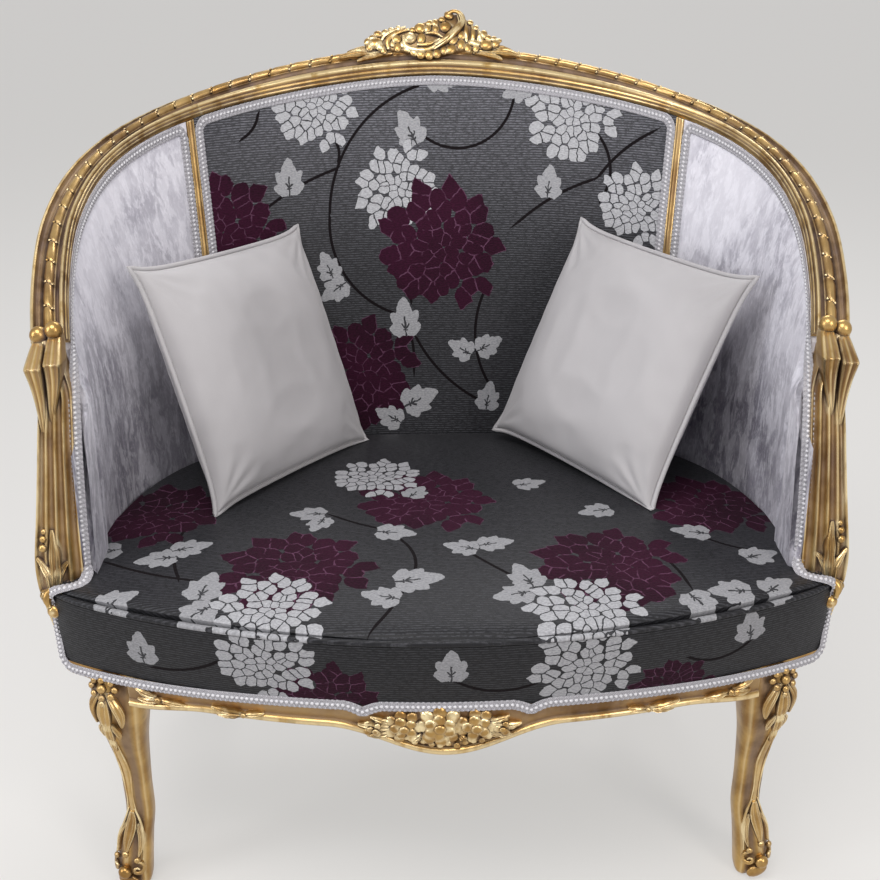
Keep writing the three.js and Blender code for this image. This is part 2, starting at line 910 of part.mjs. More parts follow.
function frameRing(share, section) {
  const frame = planFrame(framePlan, share);
  return section.map(([inset, z]) => {
    const p = place(frame.origin, [frame.inward, inset]);
    return point(p.x, p.y, z);
  });
}

const rearPostFrame = planFrame(framePlan, rearPostShare);
const rearPostCentre = place(rearPostFrame.origin, [rearPostFrame.inward, rearPostInset]);

function rearPost(sign, growth = 0) {
  const half = rearPostHalf + growth;
  const box = new THREE.BoxGeometry(half * 2, half * 2, railBoardTop - legPostLow + growth * 2);
  box.rotateZ(degrees(rearLegTurn));
  box.translate(rearPostCentre.x * sign, rearPostCentre.y, (railBoardTop + legPostLow) / 2);
  return box;
}

function frontPost(sign, growth = 0) {
  const outline = legPostOutlineShares.map(([x, y]) => [
    (legPostInnerX - growth + x * (legPostWidth + growth * 2)) * sign,
    legPostRearY + growth - y * (legPostDepth + growth * 2),
  ]);
  return extrudeUp(outline, legPostLow - growth, railBoardTop - legPostLow + growth * 2);
}

// Legs: rings of flat sides under the post that the rails butt against

const frontLegStations = frontLegShares.map(([height, sway, bow, width]) => ({
  x: frontLegX + sway * frontLegSway,
  y: frontLegY + bow * frontLegBow,
  z: mix(glideHeight, legTop, height),
  half: width * frontLegHalf,
}));
const rearLegStations = rearLegShares.map(([height, splay, rake, width]) => ({
  x: rearPostCentre.x + splay * rearLegSplay,
  y: rearPostCentre.y + rake * rearLegRake,
  z: mix(glideHeight, legTop, height),
  half: width * rearLegHalf,
}));

function legRing(station, sign, growth) {
  const radius = station.half * legCornerShare + growth;
  return evenly(0, legSides - 1, legSides - 1).map((i) => {
    const angle = (i + 0.5) * (2 * Math.PI / legSides);
    return point(
      (station.x + radius * Math.cos(angle)) * sign,
      station.y + radius * Math.sin(angle),
      station.z,
    );
  });
}

function legGeometry(stations, post, sign, growth = 0) {
  const rings = stations.map((station) => legRing(station, sign, growth));
  return fuse(loft(rings), post(sign, growth));
}

function makeGlide(name, foot, sign) {
  const glide = new THREE.LatheGeometry([
    new THREE.Vector2(0, 0),
    new THREE.Vector2(glideRadius * glideFootShare, 0),
    new THREE.Vector2(glideRadius, glideHeight / 2),
    new THREE.Vector2(glideRadius, glideHeight - seatGap),
    new THREE.Vector2(0, glideHeight - seatGap),
  ], 16);
  glide.rotateX(Math.PI / 2);
  const piece = addPiece(name, glide, steel);
  piece.position.set(foot.x * sign, foot.y, 0);
}

function makeLegs() {
  bothSides((side, sign) => {
    const kinds = [['front', frontLegStations, frontPost], ['rear', rearLegStations, rearPost]];
    kinds.forEach(([end, stations, post]) => {
      addPiece(`${end}_${side}_leg`, legGeometry(stations, post, sign), gold);
      makeGlide(`${end}_${side}_glide`, stations[stations.length - 1], sign);
    });
  });
}

function apronLowAt(x) {
  const share = Math.min(Math.abs(x) / apronDropHalfWidth, 1);
  const drop = apronDrop * Math.cos(share * Math.PI / 2) ** 2;
  const sweep = THREE.MathUtils.smoothstep(Math.abs(x), apronSweepStart, legPostInnerX);
  return apronLow - drop - sweep * apronSweep;
}

function makeSeatRails() {
  const reach = legPostInnerX - seatGap;
  const front = loft(evenly(-reach, reach, 30).map((x) => {
    const low = apronLowAt(x);
    const section = [
      [0, apronTop],
      [0, low + railLipProud],
      [railLipProud, low],
      [apronLip, low],
      [apronLip, railBoardLow],
      [apronRebate + railBoardThickness, railBoardLow],
      [apronRebate + railBoardThickness, railBoardTop],
      [apronRebate, railBoardTop],
      [apronRebate, apronTop],
    ];
    const face = arcY(x, apronFaceY, apronArc);
    return section.map(([depth, z]) => point(x, face + depth, z));
  }));
  const legs = [1, -1].map((sign) => legGeometry(frontLegStations, frontPost, sign, seatGap));
  addPiece('front_seat_rail', cutBy(front, ...legs), gold);
  const postShare = (rearPostHalf - cutOverrun) / framePlanLength;
  const posts = [1, -1].map((sign) => rearPost(sign, seatGap));
  const rearReach = rearPostShare - postShare;
  const rear = loft(evenly(-rearReach, rearReach, 16).map((share) => (
    frameRing(share, railBoardSection)
  )));
  addPiece('rear_seat_rail', cutBy(rear, ...posts), gold);
  bothSides((side, sign) => {
    const from = rearPostShare + postShare;
    const rail = loft(evenly(from, 1, 10).map((share) => (
      frameRing(share * sign, railBoardSection)
    )));
    const tools = [rearPost(sign, seatGap), frontPost(sign, seatGap)];
    addPiece(`${side}_seat_rail`, cutBy(rail, ...tools), gold);
  });
}

makeSeatRails();

makeLegs();

// Front border, its welt and the braid along its foot

const lowEdge = wholeWidth(frontEdge(apronFaceY, apronArc));
const highEdge = wholeWidth(frontEdge(seatFrontY, seatArc));
const lowCurve = new THREE.CatmullRomCurve3(lowEdge, false, 'centripetal');
const highCurve = new THREE.CatmullRomCurve3(highEdge, false, 'centripetal');
const lowEdgeLength = curveLength(lowEdge);

// A place on the border: a length from the middle of its foot, a height and a depth outward.
function borderPoint(run, z, out) {
  const share = THREE.MathUtils.clamp(0.5 + run / lowEdgeLength, 0, 1);
  const rise = THREE.MathUtils.clamp((z - borderLow) / (borderTop - borderLow), 0, 1);
  const low = lowCurve.getPointAt(share);
  const high = highCurve.getPointAt(share);
  const along = lowCurve.getTangentAt(share);
  const p = mixPoints(low, high, rise);
  return place(point(p.x, p.y, z), [point(along.y, -along.x, 0), out]);
}

function borderRuns() {
  const half = lowEdgeLength / 2;
  return [
    ...evenly(-half, -half * borderTurnShare, 6),
    ...evenly(-half * borderArcShare, half * borderArcShare, 18),
    ...evenly(half * borderTurnShare, half, 6),
  ];
}

function borderGeometry(growth = 0) {
  const low = apronTop + softGap - growth;
  const high = borderTop + growth;
  return loft(borderRuns().map((run) => [
    borderPoint(run, low, growth),
    borderPoint(run, high, growth),
    borderPoint(run, high, -borderThickness - growth),
    borderPoint(run, low, -borderThickness - growth),
  ]));
}

// Corner blocks behind the posts

function rearCornerBlock(sign) {
  const outline = cornerBlockShares.map(([lateral, radial]) => [
    lateral * cornerBlockHalf,
    rearPostHalf * cornerBlockSeatShare + radial * cornerBlockDepth,
  ]);
  const block = extrudeUp(outline, cornerBlockLow, railBoardTop - cornerBlockLow);
  block.rotateZ(Math.PI - degrees(rearLegTurn));
  block.translate(rearPostCentre.x, rearPostCentre.y, 0);
  if (sign < 0) block.scale(-1, 1, 1);
  return turnedOut(block);
}

// A mirrored shape has its faces turned round again.
function turnedOut(geometry) {
  const bare = geometry.clone();
  bare.deleteAttribute('normal');
  bare.deleteAttribute('uv');
  const merged = mergeVertices(bare);
  const positions = Array.from(merged.getAttribute('position').array);
  return solidFrom(positions, Array.from(merged.getIndex().array));
}

function makeCornerBlocks() {
  const section = grown(railBoardSection, seatGap);
  bothSides((side, sign) => {
    const ring = (share) => frameRing(share * sign, section);
    const rail = loft(evenly(rearPostShare * 0.5, 1, 16).map(ring));
    const block = cutBy(rearCornerBlock(sign), rail, rearPost(sign, seatGap));
    addPiece(`rear_${side}_corner_block`, block, wood);
    const railX = frameHalfWidth - railBoardThickness - seatGap;
    const postY = legPostRearY + seatGap;
    const front = [[railX, postY], [railX, postY + frontBlockLeg], [railX - frontBlockLeg, postY]];
    const outline = front.map(([x, y]) => [x * sign, y]);
    const depth = railBoardTop - cornerBlockLow;
    addPiece(`front_${side}_corner_block`, extrudeUp(outline, cornerBlockLow, depth), wood);
  });
}

makeCornerBlocks();

// Webbing, springs and stuffing

const webbingTop = railBoardLow - seatGap;
const hessianLow = railBoardTop + seatGap;
const stuffingLow = hessianLow + hessianThickness + seatGap;
const stuffingTop = stuffingLow + stuffingHeight;
const webbingLow = webbingTop - webbingThickness;

// Plan of what is tacked under the seat frame.
function underOutline(inset) {
  const lip = apronLip + inset;
  const front = evenly(0, legPostInnerX, 10).map((x) => (
    point(x, arcY(x, apronFaceY, apronArc) + lip, 0)
  ));
  const side = evenly(1, 0, 14).map((share) => {
    const frame = planFrame(framePlan, share);
    return place(frame.origin, [frame.inward, railLipBack + inset]);
  });
  return closedOutline([...front, ...side]);
}

const strapYs = [-1, 0, 1].map((row) => strapMiddleY + row * strapPitchY);

function makeWebbing() {
  const acrossStraps = strapYs.map((y) => {
    const strap = new THREE.BoxGeometry(frameHalfWidth * 2, webStrapWidth, webbingThickness);
    return strap.translate(0, y, 0);
  });
  const depth = frameBackReach - apronFaceY;
  const deepStraps = evenly(-strapReachX, strapReachX, strapColumns - 1).map((x) => {
    const strap = new THREE.BoxGeometry(webStrapWidth, depth * 2, webbingThickness);
    return strap.translate(x, 0, 0);
  });
  const [first, ...rest] = [...acrossStraps, ...deepStraps];
  const net = fuse(first, ...rest);
  net.translate(0, 0, webbingLow + webbingThickness / 2);
  const height = webbingThickness + cutOverrun * 2;
  const plan = extrudeUp(underOutline(webbingInset), webbingLow - cutOverrun, height);
  addPiece('seat_webbing', cutBy(common(net, plan), ...allLegs()), webbing);
}

function allLegs() {
  return [1, -1].flatMap((sign) => [
    legGeometry(frontLegStations, frontPost, sign, softGap),
    legGeometry(rearLegStations, rearPost, sign, softGap),
  ]);
}

function makeDustCover() {
  const low = webbingLow - seatGap - dustCoverThickness;
  const sheet = extrudeUp(underOutline(dustCoverInset), low, dustCoverThickness);
  addPiece('dust_cover', cutBy(sheet, ...allLegs()), blackCloth);
}

function springGeometry() {
  const low = webbingTop + seatGap + springWireRadius;
  const high = railBoardTop - springWireRadius;
  const steps = springTurns * springTurnSteps;
  const helix = (share) => {
    const angle = share * springTurns * Math.PI * 2;
    const radius = mix(springRadius, springWaist, Math.sin(Math.PI * share));
    return point(radius * Math.cos(angle), radius * Math.sin(angle), mix(low, high, share));
  };
  return loft(evenly(0, 1, steps).map((share) => {
    const centre = helix(share);
    const outward = point(centre.x, centre.y, 0).normalize();
    const up = point(0, 0, 1);
    return evenly(0, springSides - 1, springSides - 1).map((k) => {
      const angle = (k / springSides) * Math.PI * 2;
      return place(
        centre,
        [outward, springWireRadius * Math.cos(angle)],
        [up, springWireRadius * Math.sin(angle)],
      );
    });
  }));
}

function makeSprings() {
  const strapStep = (strapReachX * 2) / (strapColumns - 1);
  const [fore, middle, rear] = strapYs;
  const places = [
    [0, middle],
    [-strapStep, fore],
    [strapStep, fore],
    [-strapStep, rear],
    [strapStep, rear],
  ];
  places.forEach(([x, y], i) => {
    const spring = addPiece(`seat_spring_${i + 1}`, springGeometry(), steel);
    spring.position.set(x, y, 0);
  });
}

function seatSurface(x, y) {
  const middle = (seatFrontY + wallBaseCentreY + wallBaseReach) / 2;
  const reach = middle - seatFrontY;
  const sideShare = 1 - Math.min(Math.abs(x) / seatCornerX, 1) ** 2;
  const depthShare = 1 - Math.min(Math.abs(y - middle) / reach, 1) ** 2;
  return seatEdgeHeight + seatCrown * Math.sqrt(sideShare * depthShare);
}

function seatCoverGeometry(growth = 0) {
  const low = stuffingTop + seatGap - growth;
  const rear = wallBaseCentreY + wallBaseReach + cutOverrun;
  const fore = seatFrontY - cutOverrun;
  const reach = seatCornerX + cutOverrun;
  const field = loft(evenly(-reach, reach, 14).map((x) => [
    ...evenly(fore, rear, 10).map((y) => point(x, y, seatSurface(x, y) + growth)),
    ...evenly(rear, fore, 10).map((y) => point(x, y, low)),
  ]), { isSlab: true });
  const front = frontEdge(seatFrontY, seatArc, borderThickness + softGap - growth);
  const outline = seatOutline(front, seatWallClear - growth);
  const high = seatEdgeHeight + seatCrown + growth + cutOverrun;
  const prism = extrudeUp(outline, low - cutOverrun, high - low + cutOverrun);
  return common(field, prism);
}

function makeSeat() {
  makeWebbing();
  makeDustCover();
  makeSprings();
  const plan = (inset) => seatOutline(frontEdge(apronFaceY, apronArc, inset), inset);
  const hessian = extrudeUp(plan(hessianInset), hessianLow, hessianThickness);
  addPiece('seat_hessian', hessian, webbing);
  addPiece('seat_stuffing', extrudeUp(plan(stuffingInset), stuffingLow, stuffingHeight), stuffing);
  addPiece('seat_cover', cutBy(seatCoverGeometry(), borderGeometry(softGap)), jacquard);
}

makeSeat();

function makeBorder() {
  addPiece('seat_front_border', borderGeometry(), jacquard);
  const centreZ = borderTop + seatGap + weltRadius;
  addPiece('seat_welt', loft(borderRuns().map((run) => (
    evenly(0, weltSides - 1, weltSides - 1).map((k) => {
      const angle = (k + 0.5) * (2 * Math.PI / weltSides);
      const p = borderPoint(run, borderTop, weltRadius * (Math.cos(angle) - 1));
      return point(p.x, p.y, centreZ + weltRadius * Math.sin(angle));
    })
  ))), jacquard);
}

// Height of the braid along the foot, with a small dip at each cusp.
function braidHeight(run) {
  const away = Math.abs(Math.abs(run) - cuspX) / cuspHalfWidth;
  const dip = cuspDrop * Math.max(1 - away, 0);
  return borderLow - dip - braidFall * THREE.MathUtils.smoothstep(Math.abs(run), cuspX, seatCornerX);
}

function makeSeatBraid() {
  const half = lowEdgeLength / 2;
  const turnStart = half - braidTurn - braidWidth / 2 - softGap;
  const flat = [...evenly(0, turnStart, 26), cuspX].sort((a, b) => a - b).map((run) => ({
    run,
    z: braidHeight(run),
    side: [0, 1],
  }));
  const foot = braidHeight(turnStart);
  const turn = evenly(0, 90, braidTurnSteps).slice(1).map((angle) => ({
    run: turnStart + braidTurn * Math.sin(degrees(angle)),
    z: foot + braidTurn * (1 - Math.cos(degrees(angle))),
    side: [-Math.sin(degrees(angle)), Math.cos(degrees(angle))],
  }));
  const rise = evenly(foot + braidTurn, borderTop, 4).slice(1).map((z) => ({
    run: turnStart + braidTurn,
    z,
    side: [-1, 0],
  }));
  const right = [...flat, ...turn, ...rise];
  const left = right.slice(1).reverse().map(({ run, z, side }) => ({
    run: -run,
    z,
    side: [-side[0], side[1]],
  }));
  const gimp = loft([...left, ...right].map(({ run, z, side }) => {
    const corner = (across, out) => borderPoint(
      run + side[0] * across * braidWidth / 2,
      z + side[1] * across * braidWidth / 2,
      out,
    );
    return [
      corner(-1, softGap),
      corner(1, softGap),
      corner(1, softGap + braidThickness),
      corner(-1, softGap + braidThickness),
    ];
  }));
  addPiece('seat_gimp', cutBy(gimp, borderGeometry(seatGap)), braid);
}

makeBorder();
makeSeatBraid();

// Tack rails inside the wall

function tackRail(panel, columns) {
  const near = -wallThickness - softGap;
  const far = near - tackRailDepth;
  return loft(sideShares(panel, columns).map((across) => {
    const high = panelPoint(panel, across, 1, 0).z - wallFoot;
    const rise = tackRailHeight / high;
    return [
      panelPoint(panel, across, 0, near),
      panelPoint(panel, across, 0, far),
      panelPoint(panel, across, rise, far),
      panelPoint(panel, across, rise, near),
    ];
  }));
}

function makeTackRails() {
  addPiece('back_tack_rail', tackRail(backPanel, backColumns), wood);
  bothSides((side, sign) => {
    const rail = tackRail(sidePanel(sign), sideColumns);
    addPiece(`${side}_tack_rail`, cutBy(rail, armSupport(sign, softGap)), wood);
  });
}

makeTackRails();

// Outer covers, from under the rail down over the outside of the seat rails

function outerPoint(topShare, baseShare, rise, depth) {
  const frame = railFrame(topShare);
  const top = place(
    frame.origin,
    [frame.across, coverRailInset],
    [frame.out, -railThickness - softGap],
  );
  const foot = planFrame(framePlan, baseShare);
  const base = place(foot.origin, [foot.inward, -coverClear]);
  base.z = coverLow;
  const outward = foot.inward.clone().negate();
  const bulge = coverBulge * Math.sin(Math.PI * rise);
  return place(mixPoints(base, top, rise), [outward, depth > 0 ? depth + bulge : bulge]);
}

function outerCover(fromTop, toTop, fromBase, toBase, columns, lead = 0) {
  const rings = evenly(0, 1, columns).map((across) => {
    const at = (rise, depth) => outerPoint(
      mix(fromTop, toTop, across),
      mix(fromBase, toBase, across),
      rise,
      depth,
    );
    return [
      ...evenly(0, 1, 4).map((rise) => at(rise, coverThickness)),
      ...evenly(1, 0, 4).map((rise) => at(rise, 0)),
    ];
  });
  if (lead > 0) {
    rings.push(rings[columns].map((p) => point(p.x, Math.min(p.y - lead, coverFrontY), p.z)));
  }
  return loft(rings, { isSlab: true });
}

// Space ahead of the line where the outer side covers stop.
function frontOfCovers() {
  const size = frameHalfWidth * 4;
  const block = new THREE.BoxGeometry(size, size, size);
  return block.translate(0, coverFrontY - size / 2, 0);
}

function makeOuterCovers() {
  const seam = softGap / framePlanLength;
  const back = outerCover(-stileShare, stileShare, -coverSeamShare, coverSeamShare, 14);
  addPiece('outer_back_cover', back, jacquard);
  bothSides((side, sign) => {
    const cover = outerCover(
      (stileShare + seam) * sign,
      handEndShare * sign,
      (coverSeamShare + seam) * sign,
      sign,
      10,
      coverLead,
    );
    const tools = [armSupport(sign, softGap), frontOfCovers()];
    addPiece(`${side}_outer_cover`, cutBy(cover, ...tools), velvet);
  });
}

makeOuterCovers();

// Loose cushions

function cushionGeometry() {
  const shares = evenly(-1, 1, 10).map((share) => Math.sin((share * Math.PI) / 2));
  const half = cushionSide / 2;
  return loft(shares.map((u) => {
    const skin = (v, face) => {
      const crown = Math.sqrt(Math.max((1 - u * u) * (1 - v * v), 0));
      return point(
        u * (half - cushionPull * (1 - v * v)),
        face * (cushionSeam + (cushionThickness - cushionSeam) * crown) / 2,
        v * (half - cushionPull * (1 - u * u)),
      );
    };
    return [...shares.map((v) => skin(v, -1)), ...shares.slice().reverse().map((v) => skin(v, 1))];
  }), { isSlab: true });
}

function makeCushions() {
  const wall = [padGeometry(backPanel, backColumns, backRows, softGap), seatCoverGeometry(softGap)];
  bothSides((side, sign) => {
    const spot = cushionPlaceShares[side];
    const { turn, lean, roll } = cushionTurns[side];
    const turned = new THREE.Euler(degrees(lean), degrees(roll), degrees(turn), 'ZXY');
    const matrix = new THREE.Matrix4().makeRotationFromEuler(turned);
    matrix.setPosition(
      spot.across * wallBaseHalfWidth,
      wallBaseCentreY + spot.back * wallBaseReach,
      seatEdgeHeight + spot.up * cushionSide,
    );
    const cushion = cushionGeometry().applyMatrix4(matrix);
    const sidePad = padGeometry(sidePanel(sign), sideColumns, sideRows, softGap);
    addPiece(`${side}_scatter_cushion`, cutBy(cushion, ...wall, sidePad), cushionVelvet);
  });
}

makeCushions();

// Carvings

function makeCrestCarving() {
  const frame = railFrame(0);
  const shape = new THREE.Shape(crestCarvingShares.map(([across, up]) => (
    new THREE.Vector2(across * crestCarvingHalfWidth, up * crestCarvingHeight)
  )));
  const carving = new THREE.ExtrudeGeometry(shape, { depth: crestCarvingDepth, bevelEnabled: false });
  carving.translate(0, 0, crestCarvingProud - crestCarvingDepth);
  const basis = new THREE.Matrix4().makeBasis(frame.along, frame.across.clone().negate(), frame.out);
  basis.setPosition(frame.origin);
  carving.applyMatrix4(basis);
  addPiece('crest_carving', cutBy(carving, crestRail(grown(railSection, seatGap))), gold);
}

function makeApronCarving() {
  const middleZ = apronCarvingTop - apronCarvingHeight / 2;
  addPiece('front_rail_carving', loft(evenly(-1, 1, 20).map((share) => {
    const x = share * apronCarvingHalfWidth;
    const face = arcY(x, apronFaceY, apronArc) - seatGap;
    const swell = mix(apronCarvingEndShare, 1, Math.sqrt(1 - share * share));
    const wave = Math.abs(Math.cos(share * apronCarvingLobes * Math.PI / 2));
    const proud = apronCarvingProud * swell * mix(1 - apronCarvingDipShare, 1, wave);
    const half = apronCarvingHeight / 2 * swell;
    const { out, up } = apronCarvingShoulderShares;
    return [
      point(x, face, middleZ + half),
      point(x, face - proud * out, middleZ + half * up),
      point(x, face - proud, middleZ),
      point(x, face - proud * out, middleZ - half * up),
      point(x, face, middleZ - half),
    ];
  })), gold);
}

makeCrestCarving();
makeApronCarving();

// The origin is on the floor under the middle of the chair.
const box = new THREE.Box3().setFromObject(chair);
const middle = box.getCenter(new THREE.Vector3());
chair.position.set(-middle.x, -middle.y, -box.min.z);
chair.updateMatrixWorld(true);

export default chair;
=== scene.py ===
import math
import random
from functools import lru_cache

import bpy
from mathutils import Matrix, Vector
from mathutils.bvhtree import BVHTree


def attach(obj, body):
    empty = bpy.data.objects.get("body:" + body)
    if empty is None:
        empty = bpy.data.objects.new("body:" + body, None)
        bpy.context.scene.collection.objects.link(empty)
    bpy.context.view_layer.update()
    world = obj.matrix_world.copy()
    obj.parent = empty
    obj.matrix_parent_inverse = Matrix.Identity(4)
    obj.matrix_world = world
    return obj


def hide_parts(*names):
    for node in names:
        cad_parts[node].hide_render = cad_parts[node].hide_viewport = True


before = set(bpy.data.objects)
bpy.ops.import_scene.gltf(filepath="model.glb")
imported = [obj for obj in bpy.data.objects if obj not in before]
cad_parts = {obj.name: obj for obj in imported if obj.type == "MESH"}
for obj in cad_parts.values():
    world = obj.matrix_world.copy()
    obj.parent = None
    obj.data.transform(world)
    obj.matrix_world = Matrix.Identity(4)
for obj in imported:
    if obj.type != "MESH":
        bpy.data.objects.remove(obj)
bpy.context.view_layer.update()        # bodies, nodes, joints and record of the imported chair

sides = {"left": -1, "right": 1}
up = Vector((0, 0, 1))


# Camera, floor and soft studio light

studio = {
    "cameraPlace": (-0.030, -1.447, 1.140), "cameraTurn": (66.59, 0.09, -1.23), "lens": 48.4, "sensor": 36,
    "floorColour": (0.80, 0.78, 0.76), "floorRoughness": 0.65, "floorSize": 120,
    "floorGlow": 0.55, "glowColour": (0.84, 0.825, 0.80),
    "worldColour": (0.93, 0.94, 1.0), "worldLight": 0.36, "surroundings": (0.615, 0.61, 0.60),
    # place, aim, size, power and colour
    "lamps": {
        "topLamp": ((-0.5, -1.3, 2.7), (0, 0, 0.7), (1.5, 1.0), 34, (1, 0.985, 0.96)),
        "frontLamp": ((1.7, -2.4, 1.9), (0, 0, 0.5), (1.0, 1.4), 30, (1, 0.97, 0.93)),
        "leftLamp": ((-2.6, -1.2, 1.6), (0, 0, 0.5), (0.9, 1.6), 26, (0.96, 0.98, 1)),
        "rimLamp": ((0.4, 2.3, 3.1), (0, 0, 0.6), (1.8, 0.8), 34, (1, 1, 1)),
    },
}

def deselect():
    if bpy.context.object and bpy.context.object.mode != "OBJECT":
        bpy.ops.object.mode_set(mode="OBJECT")
    bpy.ops.object.select_all(action="DESELECT")

def makeCamera():
    bpy.ops.object.camera_add(location=studio["cameraPlace"])
    camera = bpy.context.object
    camera.rotation_euler = [math.radians(turn) for turn in studio["cameraTurn"]]
    camera.data.sensor_width = studio["sensor"]
    camera.data.lens = studio["lens"]
    bpy.context.scene.camera = camera

def makeLamp(name, place, aim, size, power, colour):
    deselect()
    bpy.ops.object.light_add(type="AREA", location=place)
    lamp = bpy.context.object
    lamp.name = name
    lamp.data.shape = "RECTANGLE"
    lamp.data.size, lamp.data.size_y = size
    lamp.data.energy = power
    lamp.data.color = colour
    lamp.rotation_euler = (Vector(aim) - Vector(place)).to_track_quat("-Z", "Y").to_euler()

def makeWorld():
    # plain light, and pale surroundings for what the camera and reflections see
    world = bpy.data.worlds.new("studioWorld")
    bpy.context.scene.world = world
    world.use_nodes = True
    tree = world.node_tree
    plain = tree.nodes["Background"]
    plain.inputs["Color"].default_value = (*studio["worldColour"], 1)
    plain.inputs["Strength"].default_value = studio["worldLight"]
    pale = tree.nodes.new("ShaderNodeBackground")
    pale.inputs["Color"].default_value = (*studio["surroundings"], 1)
    rays = tree.nodes.new("ShaderNodeLightPath")
    looked = rays.outputs["Is Camera Ray"]
    for kind in ("Is Glossy Ray", "Is Transmission Ray"):
        either = tree.nodes.new("ShaderNodeMath")
        either.operation = "MAXIMUM"
        tree.links.new(looked, either.inputs[0])
        tree.links.new(rays.outputs[kind], either.inputs[1])
        looked = either.outputs[0]
    mixed = tree.nodes.new("ShaderNodeMixShader")
    for source, goal in zip((looked, plain.outputs[0], pale.outputs[0]), mixed.inputs):
        tree.links.new(source, goal)
    tree.links.new(mixed.outputs[0], tree.nodes["World Output"].inputs["Surface"])

def makeStudio():
    bpy.context.scene.view_settings.view_transform = "Standard"
    makeWorld()
    for name, settings in studio["lamps"].items():
        makeLamp(name, *settings)
    deselect()
    bpy.ops.mesh.primitive_plane_add(size=studio["floorSize"], location=(0, 0, 0))
    floor = bpy.context.object
    floor.name = "floor"
    paint = Finish("floorPaint", studio["floorColour"], roughness=studio["floorRoughness"])
    # what the camera and reflections see of the floor is lifted towards a pale colour
    rays = paint.tree.nodes.new("ShaderNodeLightPath")
    seen = Part(paint, rays.outputs["Is Camera Ray"]).most(Part(paint, rays.outputs["Is Glossy Ray"]))
    glow = paint.node("ShaderNodeEmission", {}, {"Color": (*studio["glowColour"], 1)})
    lifted = paint.node("ShaderNodeMixShader", {},
                        {0: seen * studio["floorGlow"], 1: paint.shader.outputs[0], 2: glow})
    paint.plug(paint.tree.nodes["Material Output"].inputs["Surface"], lifted)
    floor.data.materials.append(paint.material)


# Shader helpers

class Part:        # a socket that can be used in sums
    def __init__(self, sheet, socket):
        self.sheet, self.socket = sheet, socket

    def maths(self, operation, *others):
        inputs = [getattr(value, "socket", value) for value in (self, *others)]
        return self.sheet.node("ShaderNodeMath", {"operation": operation}, dict(enumerate(inputs)))

    def __add__(self, other):
        return self.maths("ADD", other)

    def __sub__(self, other):
        return self.maths("SUBTRACT", other)

    def __rsub__(self, other):
        return self.sheet.node("ShaderNodeMath", {"operation": "SUBTRACT"}, {0: other, 1: self.socket})

    def __mul__(self, other):
        return self.maths("MULTIPLY", other)

    def __truediv__(self, other):
        return self.maths("DIVIDE", other)

    def __lt__(self, other):
        return self.maths("LESS_THAN", other)

    def __gt__(self, other):
        return self.maths("GREATER_THAN", other)

    def __abs__(self):
        return self.maths("ABSOLUTE")

    def sin(self):
        return self.maths("SINE")

    def least(self, other):
        return self.maths("MINIMUM", other)

    def most(self, other):
        return self.maths("MAXIMUM", other)

    __radd__, __rmul__ = __add__, __mul__

    def between(self, low, high):        # smooth 0 to 1
        return self.sheet.node("ShaderNodeMapRange", {"interpolation_type": "SMOOTHSTEP"},
                               {"Value": self, "From Min": low, "From Max": high})


class Finish:        # a material and its node sheet
    def __init__(self, name, colour, **settings):
        self.material = bpy.data.materials.new(name)
        self.material.use_nodes = True
        self.tree = self.material.node_tree
        self.shader = self.tree.nodes["Principled BSDF"]
        self.set(colour=colour, **settings)

    sockets = {"colour": "Base Color", "roughness": "Roughness", "metallic": "Metallic", "normal": "Normal",
               "sheen": "Sheen Weight", "sheenRoughness": "Sheen Roughness", "sheenTint": "Sheen Tint",
               "specular": "Specular IOR Level"}

    def set(self, **settings):
        for key, value in settings.items():
            self.plug(self.shader.inputs[self.sockets[key]], value)

    def plug(self, socket, value):
        value = getattr(value, "socket", value)
        if isinstance(value, bpy.types.NodeSocket):
            self.tree.links.new(value, socket)
        elif isinstance(value, (tuple, list)) and len(value) == 3 and socket.type == "RGBA":
            socket.default_value = (*value, 1)
        else:
            socket.default_value = value

    def node(self, kind, settings=None, inputs=None, output=0):
        made = self.tree.nodes.new(kind)
        for key, value in (settings or {}).items():
            setattr(made, key, value)
        for key, value in (inputs or {}).items():
            self.plug(made.inputs[key], value)
        return Part(self, made.outputs[output])

    def mix(self, share, a, b):        # colours
        return self.node("ShaderNodeMix", {"data_type": "RGBA"}, {0: share, 6: a, 7: b}, 2)

    def pick(self, share, a, b):        # places
        return self.node("ShaderNodeMix", {"data_type": "VECTOR"}, {0: share, 4: a, 5: b}, 1)

    def apart(self, vector):        # its x and y
        made = self.node("ShaderNodeSeparateXYZ", {}, {0: vector})
        return made, Part(self, made.socket.node.outputs[1])

    def length(self, vector):
        return self.node("ShaderNodeVectorMath", {"operation": "LENGTH"}, {0: vector}, 1)

    def local(self, place, x, y, turn, scale=1):        # places as seen from a turned and scaled spot
        return self.node("ShaderNodeMapping", {"vector_type": "TEXTURE"},
                         {"Vector": place, "Location": (x, y, 0), "Rotation": (0, 0, turn),
                          "Scale": (scale, scale, 1)})

    def place(self):
        return self.node("ShaderNodeTexCoord", output="Object")

    def unrolled(self):        # the piece's own UV map
        return self.node("ShaderNodeTexCoord", output="UV")

    def stretched(self, scale, turn=(0, 0, 0), place=None):
        return self.node("ShaderNodeMapping", {}, {"Vector": place or self.place(), "Scale": scale,
                                                   "Rotation": turn})

    def noise(self, scale, detail=3, roughness=0.5, place=None, distortion=0):
        return self.node("ShaderNodeTexNoise", {}, {"Vector": place or self.place(), "Scale": scale,
                                                    "Detail": detail, "Roughness": roughness,
                                                    "Distortion": distortion})

    def bump(self, height, distance, strength=1, under=None):
        inputs = {"Height": height, "Distance": distance, "Strength": strength}
        if under:
            inputs["Normal"] = under
        return self.node("ShaderNodeBump", {}, inputs)


# Mesh helpers

